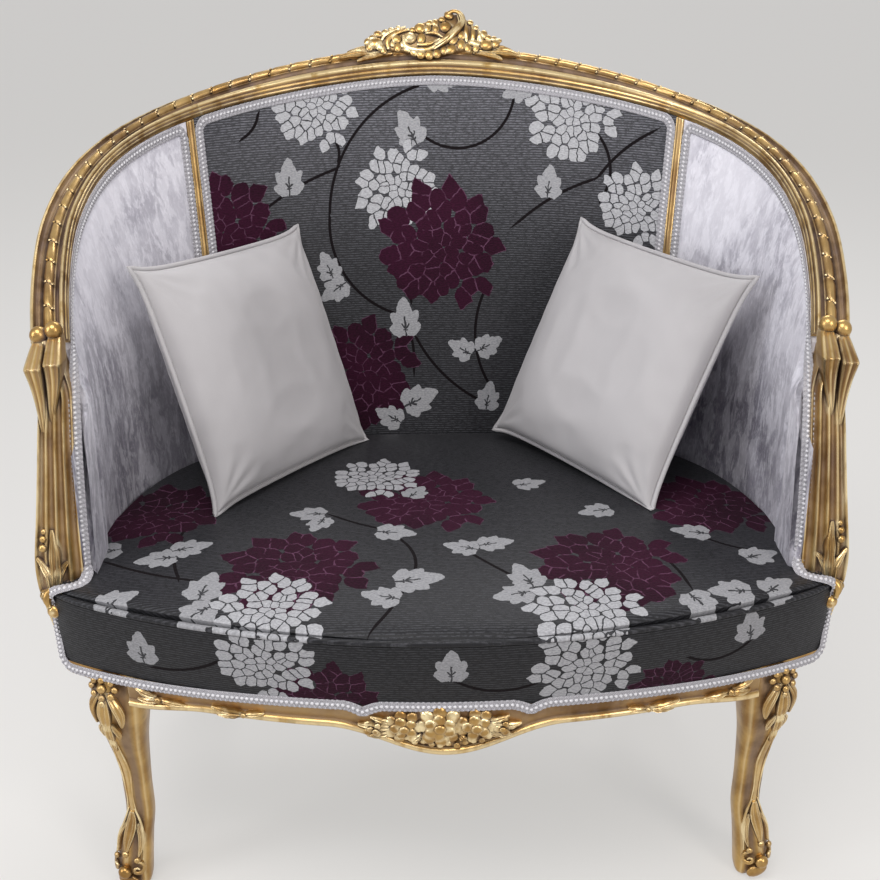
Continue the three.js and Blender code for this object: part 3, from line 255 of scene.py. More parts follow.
def lofted(name, rings, closed=True, caps=True, around=False, size=None, stainsAndShading=None):
    # a grid primitive laid through rings of points; closed joins each ring, around joins last to first;
    # stains give each point of a ring a darker (up to 1) or paler (down to -1) gilding, which is patina and
    # painted shade, or wear and painted highlight
    rows = [list(ring) + ([ring[0]] if closed else []) for ring in rings]
    if around:
        rows.append(rows[0])
    deselect()
    bpy.ops.mesh.primitive_grid_add(x_subdivisions=len(rows[0]) - 1, y_subdivisions=len(rows) - 1, size=1)
    piece = bpy.context.object
    piece.name = piece.data.name = name
    piece.data.vertices.foreach_set("co", [v for row in rows for point in row for v in point])
    if size:
        for corner in piece.data.uv_layers[0].data:
            corner.uv = (corner.uv[1] * size[0], corner.uv[0] * size[1])
    if stainsAndShading:
        values = (list(stainsAndShading) + [stainsAndShading[0]])[:len(rows[0])] * len(rows)
        piece.data.attributes.new("stainAndShading", "FLOAT", "POINT").data.foreach_set("value", values)
    bpy.ops.object.mode_set(mode="EDIT")
    bpy.ops.mesh.select_all(action="SELECT")
    bpy.ops.mesh.remove_doubles(threshold=1e-7)
    if caps and closed and not around:
        bpy.ops.mesh.fill_holes(sides=0)
    bpy.ops.mesh.select_all(action="SELECT")
    bpy.ops.mesh.normals_make_consistent(inside=False)
    bpy.ops.object.mode_set(mode="OBJECT")
    return piece

def smoothed(piece, angle=38):
    deselect()
    piece.select_set(True)
    bpy.context.view_layer.objects.active = piece
    bpy.ops.object.shade_smooth_by_angle(angle=math.radians(angle))
    return piece

def joined(name, pieces):
    deselect()
    for piece in pieces:
        piece.select_set(True)
    bpy.context.view_layer.objects.active = pieces[0]
    if len(pieces) > 1:
        bpy.ops.object.join()
    pieces[0].name = pieces[0].data.name = name
    return pieces[0]

def applied(piece, kind, **settings):
    deselect()
    piece.select_set(True)
    bpy.context.view_layer.objects.active = piece
    modifier = piece.modifiers.new(kind, kind)
    for key, value in settings.items():
        setattr(modifier, key, value)
    bpy.ops.object.modifier_apply(modifier=modifier.name)
    return piece

def finished(piece, finish, slot, body="chair", replaces=()):
    piece.data.materials.clear()
    piece.data.materials.append(finish.material)
    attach(piece, body)
    if replaces:
        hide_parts(*replaces)
    return piece

def gilded(name, pieces, gilding, replaces=()):
    return finished(joined(name, pieces), gilding, "gilt_wood", replaces=replaces)


# Curves shared with the CAD, in metres

def mix(a, b, share):
    return a + (b - a) * share

def smoothstep(value, low, high):
    share = min(max((value - low) / (high - low), 0), 1)
    return share * share * (3 - 2 * share)

def evenly(low, high, count):
    return [mix(low, high, i / count) for i in range(count + 1)]

def circled(middle, across, out, radius, count):
    turns = evenly(0, 2 * math.pi, count)[:-1]
    return [middle + (across * math.cos(turn) + out * math.sin(turn)) * radius for turn in turns]

def splineThrough(points, spans=600):
    # centripetal curve through the points, read by the share of its length
    def at(share):
        place = share * (len(points) - 1)
        i = min(int(place), len(points) - 2)
        w = place - i
        b, c = points[i], points[i + 1]
        a = points[i - 1] if i > 0 else b + b - c
        d = points[i + 2] if i + 2 < len(points) else c + c - b
        ab, bc, cd = [math.sqrt(max((q - p).length, 1e-9)) for p, q in ((a, b), (b, c), (c, d))]
        m1 = ((b - a) / ab - (c - a) / (ab + bc) + (c - b) / bc) * bc
        m2 = ((c - b) / bc - (d - b) / (bc + cd) + (d - c) / cd) * bc
        return b + m1 * w + (3 * (c - b) - 2 * m1 - m2) * w ** 2 + (2 * (b - c) + m1 + m2) * w ** 3
    stations = [at(share) for share in evenly(0, 1, spans)]
    lengths = [0]
    for p, q in zip(stations, stations[1:]):
        lengths.append(lengths[-1] + (q - p).length)
    def read(share):
        goal = min(max(share, 0), 1) * lengths[-1]
        low, high = 0, spans
        while high - low > 1:
            middle = (low + high) // 2
            low, high = (middle, high) if lengths[middle] <= goal else (low, middle)
        inside = (goal - lengths[low]) / max(lengths[high] - lengths[low], 1e-12)
        return stations[low].lerp(stations[high], inside)
    return read, lengths[-1]

def halfCurve(points):
    read, length = splineThrough(points)
    def at(share):
        p = read(min(abs(share), 1))
        return Vector((math.copysign(p.x, share), p.y, p.z))
    return at, length

shiftY = -0.00094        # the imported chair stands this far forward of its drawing

def ovalPoints(half, reach, centreY, power, count=14):
    angles = evenly(0, math.pi / 2, count)
    return [Vector((half * math.sin(a) ** (2 / power), centreY + shiftY + reach * max(math.cos(a),
                                                                                      0) ** (2 / power), 0))
            for a in angles]

rail = {
    "half": 0.482, "reach": 0.382, "centreY": -0.040, "power": 2.35, "handX": 0.457, "handY": -0.205,
    "handHeight": 0.690, "crestHeight": 0.987, "fallPower": 1.7, "fallRoot": 0.75,
    "tilt": 53, "tiltStart": 0.12, "tiltEnd": 0.8, "joint": 0.42, "end": 0.965, "face": 0.043,
    "tiePitch": 0.030, "tieWidth": 0.0013, "slant": 0.00055, "beadRadius": 0.0017,
}
railPlan, railLength = halfCurve(ovalPoints(rail["half"], rail["reach"], rail["centreY"], rail["power"]) + [
    Vector((mix(rail["half"], rail["handX"], 0.35), mix(rail["centreY"], rail["handY"], 0.5) + shiftY, 0)),
    Vector((rail["handX"], rail["handY"] + shiftY, 0))])

def railSpine(share):
    p = railPlan(share)
    fall = (1 - min(abs(share), 1) ** rail["fallPower"]) ** rail["fallRoot"]
    p.z = mix(rail["handHeight"], rail["crestHeight"], fall)
    return p

stepShare = 0.004

@lru_cache(maxsize=None)
def railFrame(share):
    # origin at the outer edge, along the rail, in across its face and out of it
    along = (railSpine(min(share + stepShare, 1)) - railSpine(max(share - stepShare, -1))).normalized()
    flat = Vector((along.x, along.y, 0)).normalized()
    inward = Vector((flat.y, -flat.x, 0))
    tilt = math.radians(rail["tilt"]) * (1 - smoothstep(abs(share), rail["tiltStart"], rail["tiltEnd"]))
    across = inward * math.cos(tilt) - up * math.sin(tilt)
    across = (across - along * across.dot(along)).normalized()
    return railSpine(share), along, across, across.cross(along).normalized()

def onRail(share, across, out):
    origin, along, inward, face = railFrame(share)
    return origin + inward * across + face * out

wall = {"half": 0.419, "reach": 0.386, "centreY": -0.198, "power": 2.6, "foot": 0.3855, "stile": 0.445,
        "stileBase": 0.475, "gap": 0.0005, "braid": 0.011}
wallPlan, wallLength = halfCurve(ovalPoints(wall["half"], wall["reach"], wall["centreY"], wall["power"]))

@lru_cache(maxsize=None)
def wallTop(share):
    return onRail(share, rail["face"] + wall["gap"], -0.0125)

@lru_cache(maxsize=None)
def wallBase(share):
    p = wallPlan(share)
    p.z = wall["foot"]
    return p

def onWall(topShare, baseShare, rise, depth):
    def at(offset):
        return wallBase(baseShare + offset).lerp(wallTop(topShare + offset), rise)
    normal = (at(stepShare) - at(-stepShare)).cross(wallTop(topShare) - wallBase(baseShare)).normalized()
    normal.z *= rise
    return at(0) + normal.normalized() * depth

class Panel:        # one padded panel of the wall, between shares of the rail and of the base line
    def __init__(self, top, base, crown, fullness=0.6):
        self.top, self.base, self.crown, self.fullness = top, base, crown, fullness
        self.width = abs(top[1] - top[0]) * railLength
        middle = sum(top) / 2, sum(base) / 2
        self.height = (wallTop(middle[0]) - wallBase(middle[1])).length
        self.side = (wall["braid"] + wall["gap"]) / self.width
        self.head = 1 - (wall["braid"] + wall["gap"]) / self.height

    def at(self, across, rise, depth):
        return onWall(mix(*self.top, across), mix(*self.base, across), rise, depth)

    def swell(self, across, rise):
        inner = min(max((across - self.side) / (1 - 2 * self.side), 0), 1)
        lift = min(max(rise / self.head, 0), 1)
        sideways = max(math.sin(math.pi * inner), 0) ** self.fullness
        return self.crown * sideways * max(math.sin(math.pi * lift ** 1.35), 0) ** 0.8

stileTop = 0.007 / railLength
stileBase = 0.007 / wallLength
backPanel = Panel((-wall["stile"] + stileTop, wall["stile"] - stileTop),
                  (-wall["stileBase"] + stileBase, wall["stileBase"] - stileBase), 0.022)

def sidePanel(sign):
    return Panel(((wall["stile"] + stileTop) * sign, 0.99 * sign), ((wall["stileBase"] + stileBase) * sign,
                                                                    sign), 0.017,
                 0.36)

seat = {"faceY": -0.360, "arc": 1.030, "topY": -0.379, "topArc": 0.970, "arcHalf": 0.400, "cornerX": 0.455,
        "cornerY": -0.249, "cornerLead": 0.004, "edge": 0.440, "crown": 0.025, "borderLow": 0.3465,
        "borderTop": 0.4365, "cuspX": 0.094}

def arcY(x, frontY, radius):
    return frontY + shiftY + radius - math.sqrt(radius ** 2 - x ** 2)

def frontEdge(frontY, radius, inset=0):
    start = Vector((seat["arcHalf"], arcY(seat["arcHalf"], frontY, radius), 0))
    slope = seat["arcHalf"] / math.sqrt(radius ** 2 - seat["arcHalf"] ** 2)
    turnX = seat["cornerX"] - seat["cornerLead"]
    turn = Vector((turnX, start.y + slope * (turnX - start.x), 0))
    end = Vector((seat["cornerX"], seat["cornerY"] + shiftY, 0))
    half = [Vector((x, arcY(x, frontY, radius), 0)) for x in evenly(0, seat["arcHalf"], 11)]
    half += [start * (1 - t) ** 2 + turn * (2 * t * (1 - t)) + end * t * t for t in evenly(0, 1, 4)[1:]]
    placed = []
    for i, p in enumerate(half):
        along = (half[min(i + 1, len(half) - 1)] - half[max(i - 1, 0)]).normalized()
        if i == 0:
            along = Vector((1, 0, 0))
        if i == len(half) - 1:
            along = Vector((0, 1, 0))
        placed.append(p + Vector((-along.y, along.x, 0)) * inset)
    return placed

def wholeWidth(half):
    return [Vector((-p.x, p.y, p.z)) for p in half[:0:-1]] + half

lowEdge, borderLength = splineThrough(wholeWidth(frontEdge(seat["faceY"], seat["arc"])))
highEdge, highLength = splineThrough(wholeWidth(frontEdge(seat["topY"], seat["topArc"])))

def onBorder(run, z, out):
    # length from the middle of its foot, height and depth outward
    share = 0.5 + run / borderLength
    rise = min(max((z - seat["borderLow"]) / (seat["borderTop"] - seat["borderLow"]), 0), 1)
    along = (lowEdge(share + stepShare) - lowEdge(share - stepShare)).normalized()
    p = lowEdge(share).lerp(highEdge(share), rise)
    return Vector((p.x, p.y, z)) + Vector((along.y, -along.x, 0)) * out

def seatHeight(x, y):
    middle = (seat["topY"] + wall["centreY"] + wall["reach"]) / 2 + shiftY
    reach = middle - seat["topY"] - shiftY
    across = 1 - min(abs(x) / seat["cornerX"], 1) ** 2
    depth = 1 - min(abs(y - middle) / reach, 1) ** 2
    return seat["edge"] + seat["crown"] * math.sqrt(across * depth)


# Finishes

def makeGilding():
    # leaf rubbed pale on edges, partly wear and partly painted highlight, with brown and mauve grey patina in
    # the hollows and on stains, where the stains also paint shade
    finish = Finish("antiqueGilding", (0.5, 0.33, 0.12), metallic=0.85)
    hollow = finish.node("ShaderNodeAmbientOcclusion", {"samples": 6, "only_local": True},
                         {"Distance": 0.014}, 1)
    edge = finish.node("ShaderNodeAmbientOcclusion", {"samples": 5, "only_local": True, "inside": True},
                       {"Distance": 0.003}, 1)
    stainAndShading = finish.node("ShaderNodeAttribute", {"attribute_name": "stainAndShading"}, {}, 2)
    clouds = finish.noise(16, 4, 0.6)
    streaks = finish.noise(70, 3, place=finish.stretched((1, 1, 0.3)))
    # painted highlight as well as wear: convex edges and low stain values get pale leaf
    wearAndHighlight = ((1 - edge.between(0.45, 0.95)) * streaks.between(0.28,
                                                             0.60)).most(stainAndShading * -1 * streaks.between(0.25,
                                                                                                      0.5))
    recess = 1 - hollow.between(0.34, 0.94)
    leaf = finish.mix(clouds.between(0.34, 0.66), (0.32, 0.172, 0.052), (0.63, 0.405, 0.145))
    leaf = finish.mix(wearAndHighlight, leaf, (0.98, 0.81, 0.48))
    patina = finish.mix(streaks.between(0.4, 0.65), (0.050, 0.026, 0.015), (0.150, 0.105, 0.092))
    patina = finish.mix(stainAndShading.between(0.1, 0.8) * clouds.between(0.3, 0.6), patina, (0.240, 0.165, 0.120))
    # patina in the hollows, and painted shade where stain values are high
    patinaAndShade = recess.most(clouds.between(0.55, 0.72) * 0.45).most(stainAndShading * (0.65 + streaks * 0.5)).least(1)
    finish.set(colour=finish.mix(patinaAndShade, leaf, patina), metallic=0.92 - patinaAndShade * 0.60,
               roughness=0.24 + patinaAndShade * 0.26 + streaks * 0.12)
    grit = finish.noise(420, 3)
    finish.set(normal=finish.bump(clouds * 0.4 + grit * 0.25, 0.0006, 0.5))
    return finish

def makeCrushedVelvet():
    # pile pressed in upright streaks with painted highlights, over broad clouds; painted light towards the top
    # and painted shade towards the bottom
    finish = Finish("crushedSilverVelvet", (0.5, 0.48, 0.55), sheen=0.9, sheenRoughness=0.3,
                    sheenTint=(0.96, 0.94, 1.0))
    tall = finish.stretched((1, 1, 0.34), (0.08, 0.05, 0))
    clouds = finish.noise(8, 4, 0.6, distortion=0.5)
    flakes = finish.noise(62, 6, 0.68, tall, 0.5)
    sparkle = finish.noise(260, 3, 0.7, tall, 0.3)
    # painted highlights: flecks of crushed pile, made stronger towards the top
    light = flakes.between(0.45, 0.57) * 0.65 + sparkle.between(0.48, 0.62) * 0.35
    height = finish.node("ShaderNodeSeparateXYZ", {}, {0: finish.place()}, 2)
    pale = (height + clouds * 0.16).between(0.56, 0.88)        # painted light: the pile is painted lighter towards the top
    # painted shade: darker clouds lower down
    dark = finish.mix(clouds.between(0.32, 0.68), (0.115, 0.105, 0.140), (0.320, 0.305, 0.360))
    colour = finish.mix(pale, dark, finish.mix(clouds.between(0.3, 0.6), (0.44, 0.425, 0.49),
                                               (0.74, 0.725, 0.79)))
    finish.set(colour=finish.mix(light * (0.45 + pale * 0.4), colour, (0.90, 0.885, 0.955)),
               roughness=0.80 - light * 0.32)
    finish.set(normal=finish.bump(clouds * 0.5 + flakes * 0.4 + sparkle * 0.08, 0.0020, 0.7))
    return finish

def makePlainVelvet():
    finish = Finish("greyVelvet", (0.4, 0.38, 0.37), sheen=0.5, sheenRoughness=0.35,
                    sheenTint=(0.95, 0.93, 0.93))
    nap = finish.noise(4.5, 3, 0.55, distortion=0.5)
    pile = finish.noise(900, 2)
    streaks = finish.noise(40, 3, 0.6, finish.stretched((1, 1, 0.3), (0.2, 0.3, 0.6)))
    shade = nap.between(0.34, 0.66) * 0.6 + streaks * 0.2 + pile * 0.2
    finish.set(colour=finish.mix(shade, (0.40, 0.385, 0.395), (0.53, 0.512, 0.523)),
               roughness=0.66 + nap * 0.2)
    finish.set(normal=finish.bump(nap * 0.3 + pile * 0.04 + streaks * 0.05, 0.002, 0.5))
    return finish

def makeBraid():
    # UV: beads along the braid, and the share round its section, where the beads lie in the middle
    finish = Finish("silverBraid", (0.5, 0.48, 0.52), sheen=0.25, sheenRoughness=0.4)
    along, across = finish.apart(finish.unrolled())
    near = 1 - abs(along.maths("FRACT") - 0.5).between(gimp["beadShare"] * 0.46, gimp["beadShare"] * 0.54)
    bead = across.between(0.29, 0.35) * (1 - across.between(0.53, 0.59)) * near
    twist = ((along * (2 * math.pi * 3)) + across * 44).sin() * 0.5 + 0.5
    fuzz = finish.noise(900, 2)
    shade = twist * 0.6 + fuzz * 0.4
    thread = finish.mix(shade, (0.24, 0.230, 0.250), (0.60, 0.585, 0.625))
    pearl = finish.mix(fuzz, (0.62, 0.61, 0.64), (0.80, 0.79, 0.82))
    finish.set(colour=finish.mix(bead, thread, pearl), roughness=0.64 - bead * 0.36)
    finish.set(normal=finish.bump(shade * (1 - bead), 0.0007, 0.8))
    return finish

def makePlain(name, dark, light, scale, roughness, metallic=0.0, stretch=(1, 1, 1), bump=0.0004):
    finish = Finish(name, dark, metallic=metallic)
    grain = finish.noise(scale, 4, 0.6, finish.stretched(stretch))
    fine = finish.noise(scale * 6, 2)
    shade = grain * 0.7 + fine * 0.3
    finish.set(colour=finish.mix(shade.between(0.3, 0.7), dark, light),
               roughness=roughness + (grain - 0.5) * 0.15)
    finish.set(normal=finish.bump(shade, bump, 0.6))
    return finish

def makeCloth(name, dark, light, pitch, roughness):
    # plain weave: two sets of threads that cross
    finish = Finish(name, dark, roughness=roughness)
    weft, warp = [(part * (2 * math.pi / pitch)).sin() for part in finish.apart(finish.place())]
    weave = weft.most(warp) * 0.5 + 0.5
    slub = finish.noise(90, 3)
    finish.set(colour=finish.mix(weave * 0.6 + slub * 0.4, dark, light))
    finish.set(normal=finish.bump(weave, pitch * 0.2, 0.7))
    return finish

blooms = {"petals": 4.5, "growth": 0.22, "reach": 0.94, "silver": 0.59, "plum": 0.70, "randomness": 0.74}

def nearest(finish, place, spots):
    # coordinates in the closest motif, and the distance from its middle
    chosen = distance = None
    for x, y, turn, scale in spots:
        local = finish.local(place, x / 1000, y / 1000, math.radians(turn), scale / 1000)
        away = finish.length(local)
        if chosen:
            chosen, distance = finish.pick(away < distance, chosen, local), away.least(distance)
        else:
            chosen, distance = local, away
    return chosen, distance

def bloom(finish, place, spots, line, rounding):
    # petals are round cells, a little larger outward, and kept whole or left out, so the edge is ragged
    local, distance = nearest(finish, place, spots)
    size = distance.most(0.02).maths("POWER", -blooms["growth"]) * blooms["petals"]
    spread = finish.node("ShaderNodeVectorMath", {"operation": "SCALE"}, {0: local, "Scale": size})
    inputs = {"Vector": spread, "Scale": 1, "Randomness": blooms["randomness"]}
    cell, edge = [finish.node("ShaderNodeTexVoronoi", {"feature": feature, "voronoi_dimensions": "2D"},
                              inputs)
                  for feature in ("F1", "DISTANCE_TO_EDGE")]
    middle = finish.length(cell.socket.node.outputs["Position"])
    kept = (middle < blooms["petals"] * blooms["reach"]) * (cell < rounding)
    return kept, kept * (edge > line)

# lobes of a leaf as place, turn, length and width, and how far each vein reaches
leaves = {"lobes": ((0.05, 0.0, 0, 0.50, 0.26), (-0.05, 0.16, 40, 0.30, 0.18),
                    (-0.25, 0.15, 78, 0.27, 0.22)),
          "reaches": (0.52, 0.35, 0.35), "vein": 0.022}

def leaf(finish, place, spots):
    # pointed leaf with shoulders, and its veins
    x, y = finish.apart(nearest(finish, place, spots)[0])
    folded = finish.node("ShaderNodeCombineXYZ", {}, {0: x, 1: abs(y)})
    shape = vein = None
    for (px, py, turn, deep, wide), reach in zip(leaves["lobes"], leaves["reaches"]):
        along, across = finish.apart(finish.local(folded, px, py, math.radians(turn)))
        body = abs(along / deep) + (across / wide).maths("POWER", 2)
        line = abs(across) + (along > deep * (2 * reach - 1))
        shape = shape.least(body) if shape else body
        vein = vein.least(line) if vein else line
    return shape < 1, vein < leaves["vein"]

def arcThrough(a, b, c):
    # middle, radius, direction and half angle of the arc through three places
    (ax, ay), (bx, by), (cx, cy) = a, b, c
    span = 2 * (ax * (by - cy) + bx * (cy - ay) + cx * (ay - by))
    squares = [x * x + y * y for x, y in (a, b, c)]
    x = (squares[0] * (by - cy) + squares[1] * (cy - ay) + squares[2] * (ay - by)) / span
    y = (squares[0] * (cx - bx) + squares[1] * (ax - cx) + squares[2] * (bx - ax)) / span
    angles = [math.atan2(q - y, p - x) for p, q in (a, b, c)]
    before, after = [(angle - angles[1] + math.pi) % (2 * math.pi) - math.pi for angle in (angles[0],
                                                                                           angles[2])]
    return x, y, math.hypot(ax - x, ay - y), angles[1] + (before + after) / 2, abs(before - after) / 2

def stems(finish, place, lines, width=0.0040):
    mask = None
    for line in lines:
        for first in range(0, len(line) - 2, 2):
            arc = [(x / 1000, y / 1000) for x, y in line[first:first + 3]]
            x, y, radius, turn, half = arcThrough(*arc)
            local = finish.local(place, x, y, turn)
            along, across = finish.apart(local)
            stroke = (abs(finish.length(local) - radius) < width / 2) * (along > radius * math.cos(half))
            mask = mask.most(stroke) if mask else stroke
    return mask

damask = {
    "rib": 0.0033, "drift": 0.0055, "specular": 0.19, "bump": 0.0006,
    # ground's dark and light threads and its painted sheen where the back leans away; stems; plum pile and its
    # lines; silver thread
    "dark": (0.012, 0.012, 0.014), "light": (0.100, 0.100, 0.114), "paintedSheen": (0.34, 0.34, 0.39),
    "stem": (0.003, 0.0010, 0.002), "plum": ((0.010, 0.0006, 0.005), (0.040, 0.0035, 0.020)),
    "plumLine": (0.105, 0.040, 0.078), "silver": ((0.30, 0.30, 0.32), (0.66, 0.66, 0.69)),
    "gap": ((0.020, 0.020, 0.023), (0.055, 0.055, 0.061)), "dull": (0.10, 0.10, 0.105),
    # share of a petal that is its line
    "plumEdge": 0.040, "silverEdge": 0.055,
}

def makeJacquard(name, upright, motifs, paintedLightLevel):
    # the last argument scales the whole cloth lighter or darker by how much light the piece gets: painted light
    # and shade
    finish = Finish(name, (0.05, 0.05, 0.055), specular=damask["specular"], sheen=0.04, sheenRoughness=0.3)
    flat = finish.node("ShaderNodeMapping", {}, {
        "Vector": finish.place(), "Scale": (1, 0, 1) if upright else (1, 1, 0),
        "Rotation": (-math.pi / 2 if upright else 0, 0, 0)})
    def threads(across, along, detail, roughness):
        return finish.noise(1, detail, roughness, finish.stretched((across, along, 1), place=flat))
    def shaded(colour, share):
        return [value * share for value in colour]
    fine = finish.noise(60, 2, place=flat)
    shift = finish.node("ShaderNodeTexNoise", {}, {"Vector": flat, "Scale": 120, "Detail": 3}, 1)
    drift = finish.node("ShaderNodeVectorMath", {"operation": "MULTIPLY_ADD"},
                        {0: shift, 1: (damask["drift"], damask["drift"], 0), 2: flat})
    x, y = finish.apart(flat)
    wobble = finish.noise(24, 2, place=flat)
    rib = (y * (2 * math.pi / damask["rib"]) + wobble * 4).sin()
    dashes = threads(150, 480, 3, 0.75)
    light = rib.between(-0.7, 0.8) * dashes.between(0.38, 0.60)
    thread = threads(1500, 300, 1, 0.5)
    weave = threads(260, 700, 2, 0.6)
    broad = finish.noise(5, 2, place=flat)
    lightThreadsAndSheen = shaded(damask["light"], paintedLightLevel)
    if upright:        # painted sheen: the satin is painted lighter towards the top of the back, where it would catch the light
        lightThreadsAndSheen = finish.mix(y.between(0.66, 0.98), lightThreadsAndSheen, shaded(damask["paintedSheen"], paintedLightLevel))
    ground = finish.mix(light * 0.7 + thread * 0.3, shaded(damask["dark"], paintedLightLevel), lightThreadsAndSheen)
    stalks = stems(finish, flat, motifs["stems"])
    ground = finish.mix(stalks, ground, damask["stem"])
    plumWhole, plumPetal = bloom(finish, drift, motifs["plum"], damask["plumEdge"], blooms["plum"])
    plum = finish.mix(weave.between(0.3, 0.7) * 0.6 + broad.between(0.4, 0.6) * 0.4, *damask["plum"])
    plum = finish.mix(plumPetal, finish.mix(fine.between(0.40, 0.56), plum, damask["plumLine"]), plum)
    ground = finish.mix(plumWhole, ground, plum)
    silverWhole, silverPetal = bloom(finish, drift, motifs["silver"], damask["silverEdge"],
                                     blooms["silver"])
    if motifs["plumOver"]:
        silverWhole, silverPetal = silverWhole * (1 - plumWhole), silverPetal * (1 - plumWhole)
    silver = finish.mix(weave.between(0.3, 0.7) * 0.6 + thread * 0.4,
                        *[shaded(colour, paintedLightLevel ** 0.4) for colour in damask["silver"]])
    shape, vein = leaf(finish, drift, motifs["leaves"])
    gap = finish.mix(thread, *damask["gap"])
    dull = finish.mix(0.3, silver, damask["dull"])
    ground = finish.mix(shape, ground, finish.mix(vein, dull, gap))
    ground = finish.mix(silverWhole, ground, finish.mix(silverPetal, gap, silver))
    raised = silverPetal.most(shape)
    finish.set(colour=ground,
               roughness=0.40 + raised * 0.16 + plumWhole.most(stalks) * 0.40 + dashes * 0.08)
    finish.set(normal=finish.bump(light * 0.45 + thread * 0.35 + weave * 0.3, damask["bump"], 0.6))
    return finish


# Crest and arm rails

ribbonStart, ribbonEnd = 0.10, 0.75        # the ribbon band moves in from the edge between these shares

def railSection(share):
    # millimetres in across the face and out of it, and stains (patina and painted shade in the coves, wear and
    # painted highlight on the rounds), from the foot of the outer side over the face to the back; the ribbon
    # band runs by the outer edge at the crest and in the middle of the face at the arms
    arm = smoothstep(abs(share), ribbonStart, ribbonEnd)
    ribbon = mix(6.6, 21.5, arm)
    side = [(3, -40, 0), (1.6, -38.6, 0), (0.9, -36.4, 0), (1.7, -34.2, 0), (3, -33.2, 0.3),
            (4.4, -30, 0.8), (5.2, -26.4, 0.9), (4.7, -25.2, 0.2), (5.2, -24, 0.5), (4.9, -21, 0.7),
            (3.6, -18, 0.3), (2.9, -16.2, 0)]
    crestEdge = [(2.8, -15, 0), (2.4, -14.8, 0), (2.2, -14.6, 0), (2, -14.5, 0), (1.8, -14.4, 0.3),
                 (1.6, -14.3, 0.3), (1.5, -14.2, 0.4), (1.4, -14.1, 0.4), (1.3, -14, 0.4),
                 (1.2, -13.95, 0.4), (1.1, -13.9, 0.4)]
    armEdge = [(1.2, -11.5, 0.2), (0.7, -6.4, -0.2), (1.6, -3.6, -0.7), (3.3, -2.9, -0.5), (4.7, -3.8, 0),
               (5.5, -6.2, 0.7), (7.2, -8.4, 0.9), (9.2, -9.2, 0.8), (11, -8.9, 0.7), (12.8, -10, 0.9),
               (14.6, -12.2, 1)]
    edge = [tuple(mix(a, b, arm) for a, b in zip(*pair)) for pair in zip(crestEdge, armEdge)]
    band = [(ribbon + 6.6 * math.cos(a), -9.2 + 9 * math.sin(a),
             0.15 if abs(a - math.pi / 2) > 0.9 else -0.1)
            for a in [math.radians(t) for t in range(210, 29, -15)]]
    face = [(13.6, -5, 0.5), (14.2, -6.4, 0.9), (15.2, -7.4, 1), (17.2, -8.4, 1), (19.4, -8, 1),
            (21.6, -6, 0.9), (23.2, -3.6, 0.4), (24, -2.4, -0.6), (24.8, -2.4, -0.2), (25.8, -0.9, -0.5),
            (28.2, 0, -0.75), (30.6, -0.2, -0.7), (32.4, -1.5, -0.3), (33.3, -3.2, 0.8), (34, -3.8, 0.9),
            (34.8, -3, 0.2), (36.6, -2.4, -0.4), (38.6, -3.2, 0.2), (39.6, -5, 0.9), (40.4, -6, 0.9),
            (41.6, -5.4, 0.1), (43, -6, 0.3)]
    squeeze = (43 - ribbon - 7) / (43 - 13.6)
    face = [(43 - (43 - across) * squeeze, out, stainAndShading) for across, out, stainAndShading in face]
    back = [(43, -12, 0), (24, -12, 0), (24, -40, 0)]
    first = len(side) + len(edge)
    return side + edge + band + face + back, range(first, first + len(band)), ribbon

def tieDip(along):
    # how far the ribbon band sinks at a tie, by length along the rail
    away = (along / rail["tiePitch"] + 0.5) % 1 - 0.5
    return math.exp(-(away * rail["tiePitch"] / rail["tieWidth"]) ** 2)

def makeRailPiece(node, start, end, gilding):
    name = f"{node}_piece"
    rings = []
    offsets = [-0.0045, -0.0026, -0.0013, 0, 0.0013, 0.0026, 0.0045, 0.0095]
    ties = range(math.floor(start * railLength / rail["tiePitch"]),
                 math.ceil(end * railLength / rail["tiePitch"]) + 1)
    stations = [(tie * rail["tiePitch"] + offset) / railLength for tie in ties for offset in offsets]
    stations = [start] + [s for s in stations if start + 0.0008 < s < end - 0.0008] + [end]
    for share in stations:
        section, band, ribbon = railSection(share)
        centre = Vector((ribbon, -9.2))
        ring = []
        for i, (across, out, stainAndShading) in enumerate(section):
            if i in band:
                slant = (across - ribbon) * rail["slant"]
                dip = 2.3 * tieDip(share * railLength + slant)
                swell = 0.5 * math.cos(2 * math.pi * share * railLength / rail["tiePitch"])
                pull = (Vector((across, out)) - centre).normalized() * (dip + swell)
                across, out = across - pull.x, out - pull.y
            ring.append(onRail(share, across / 1000, out / 1000))
        rings.append(ring)
    stainsAndShading = [stainAndShading for across, out, stainAndShading in railSection((start + end) / 2)[0]]
    pieces = [smoothed(lofted(name, rings, stainsAndShading=stainsAndShading), 30)]
    for tie in ties:        # a pair of beads on each tie, to both sides of the ribbon's top
        share = tie * rail["tiePitch"] / railLength
        if not start + 0.004 < share < end - 0.004:
            continue
        ribbon = railSection(share)[2]
        for across, out in ((-4.1, -3.2), (4.1, -2.6)):
            bead = onRail(share - across * rail["slant"] / railLength, (ribbon + across) / 1000, out / 1000)
            deselect()
            bpy.ops.mesh.primitive_ico_sphere_add(subdivisions=2, radius=rail["beadRadius"], location=bead)
            bpy.ops.object.transform_apply(location=True)
            bpy.ops.object.shade_smooth()
            pieces.append(bpy.context.object)
    gilded(name, pieces, gilding, [node])

def makeRails(gilding):
    gap = 0.0004 / railLength
    makeRailPiece("crest_rail", -rail["joint"], rail["joint"], gilding)
    for side, sign in sides.items():
        ends = sorted([(rail["joint"] + gap) * sign, (rail["end"] + 0.008) * sign])
        makeRailPiece(f"{side}_arm_rail", *ends, gilding)
    print("rails made")


# Gilt stiles between the panels of the wall

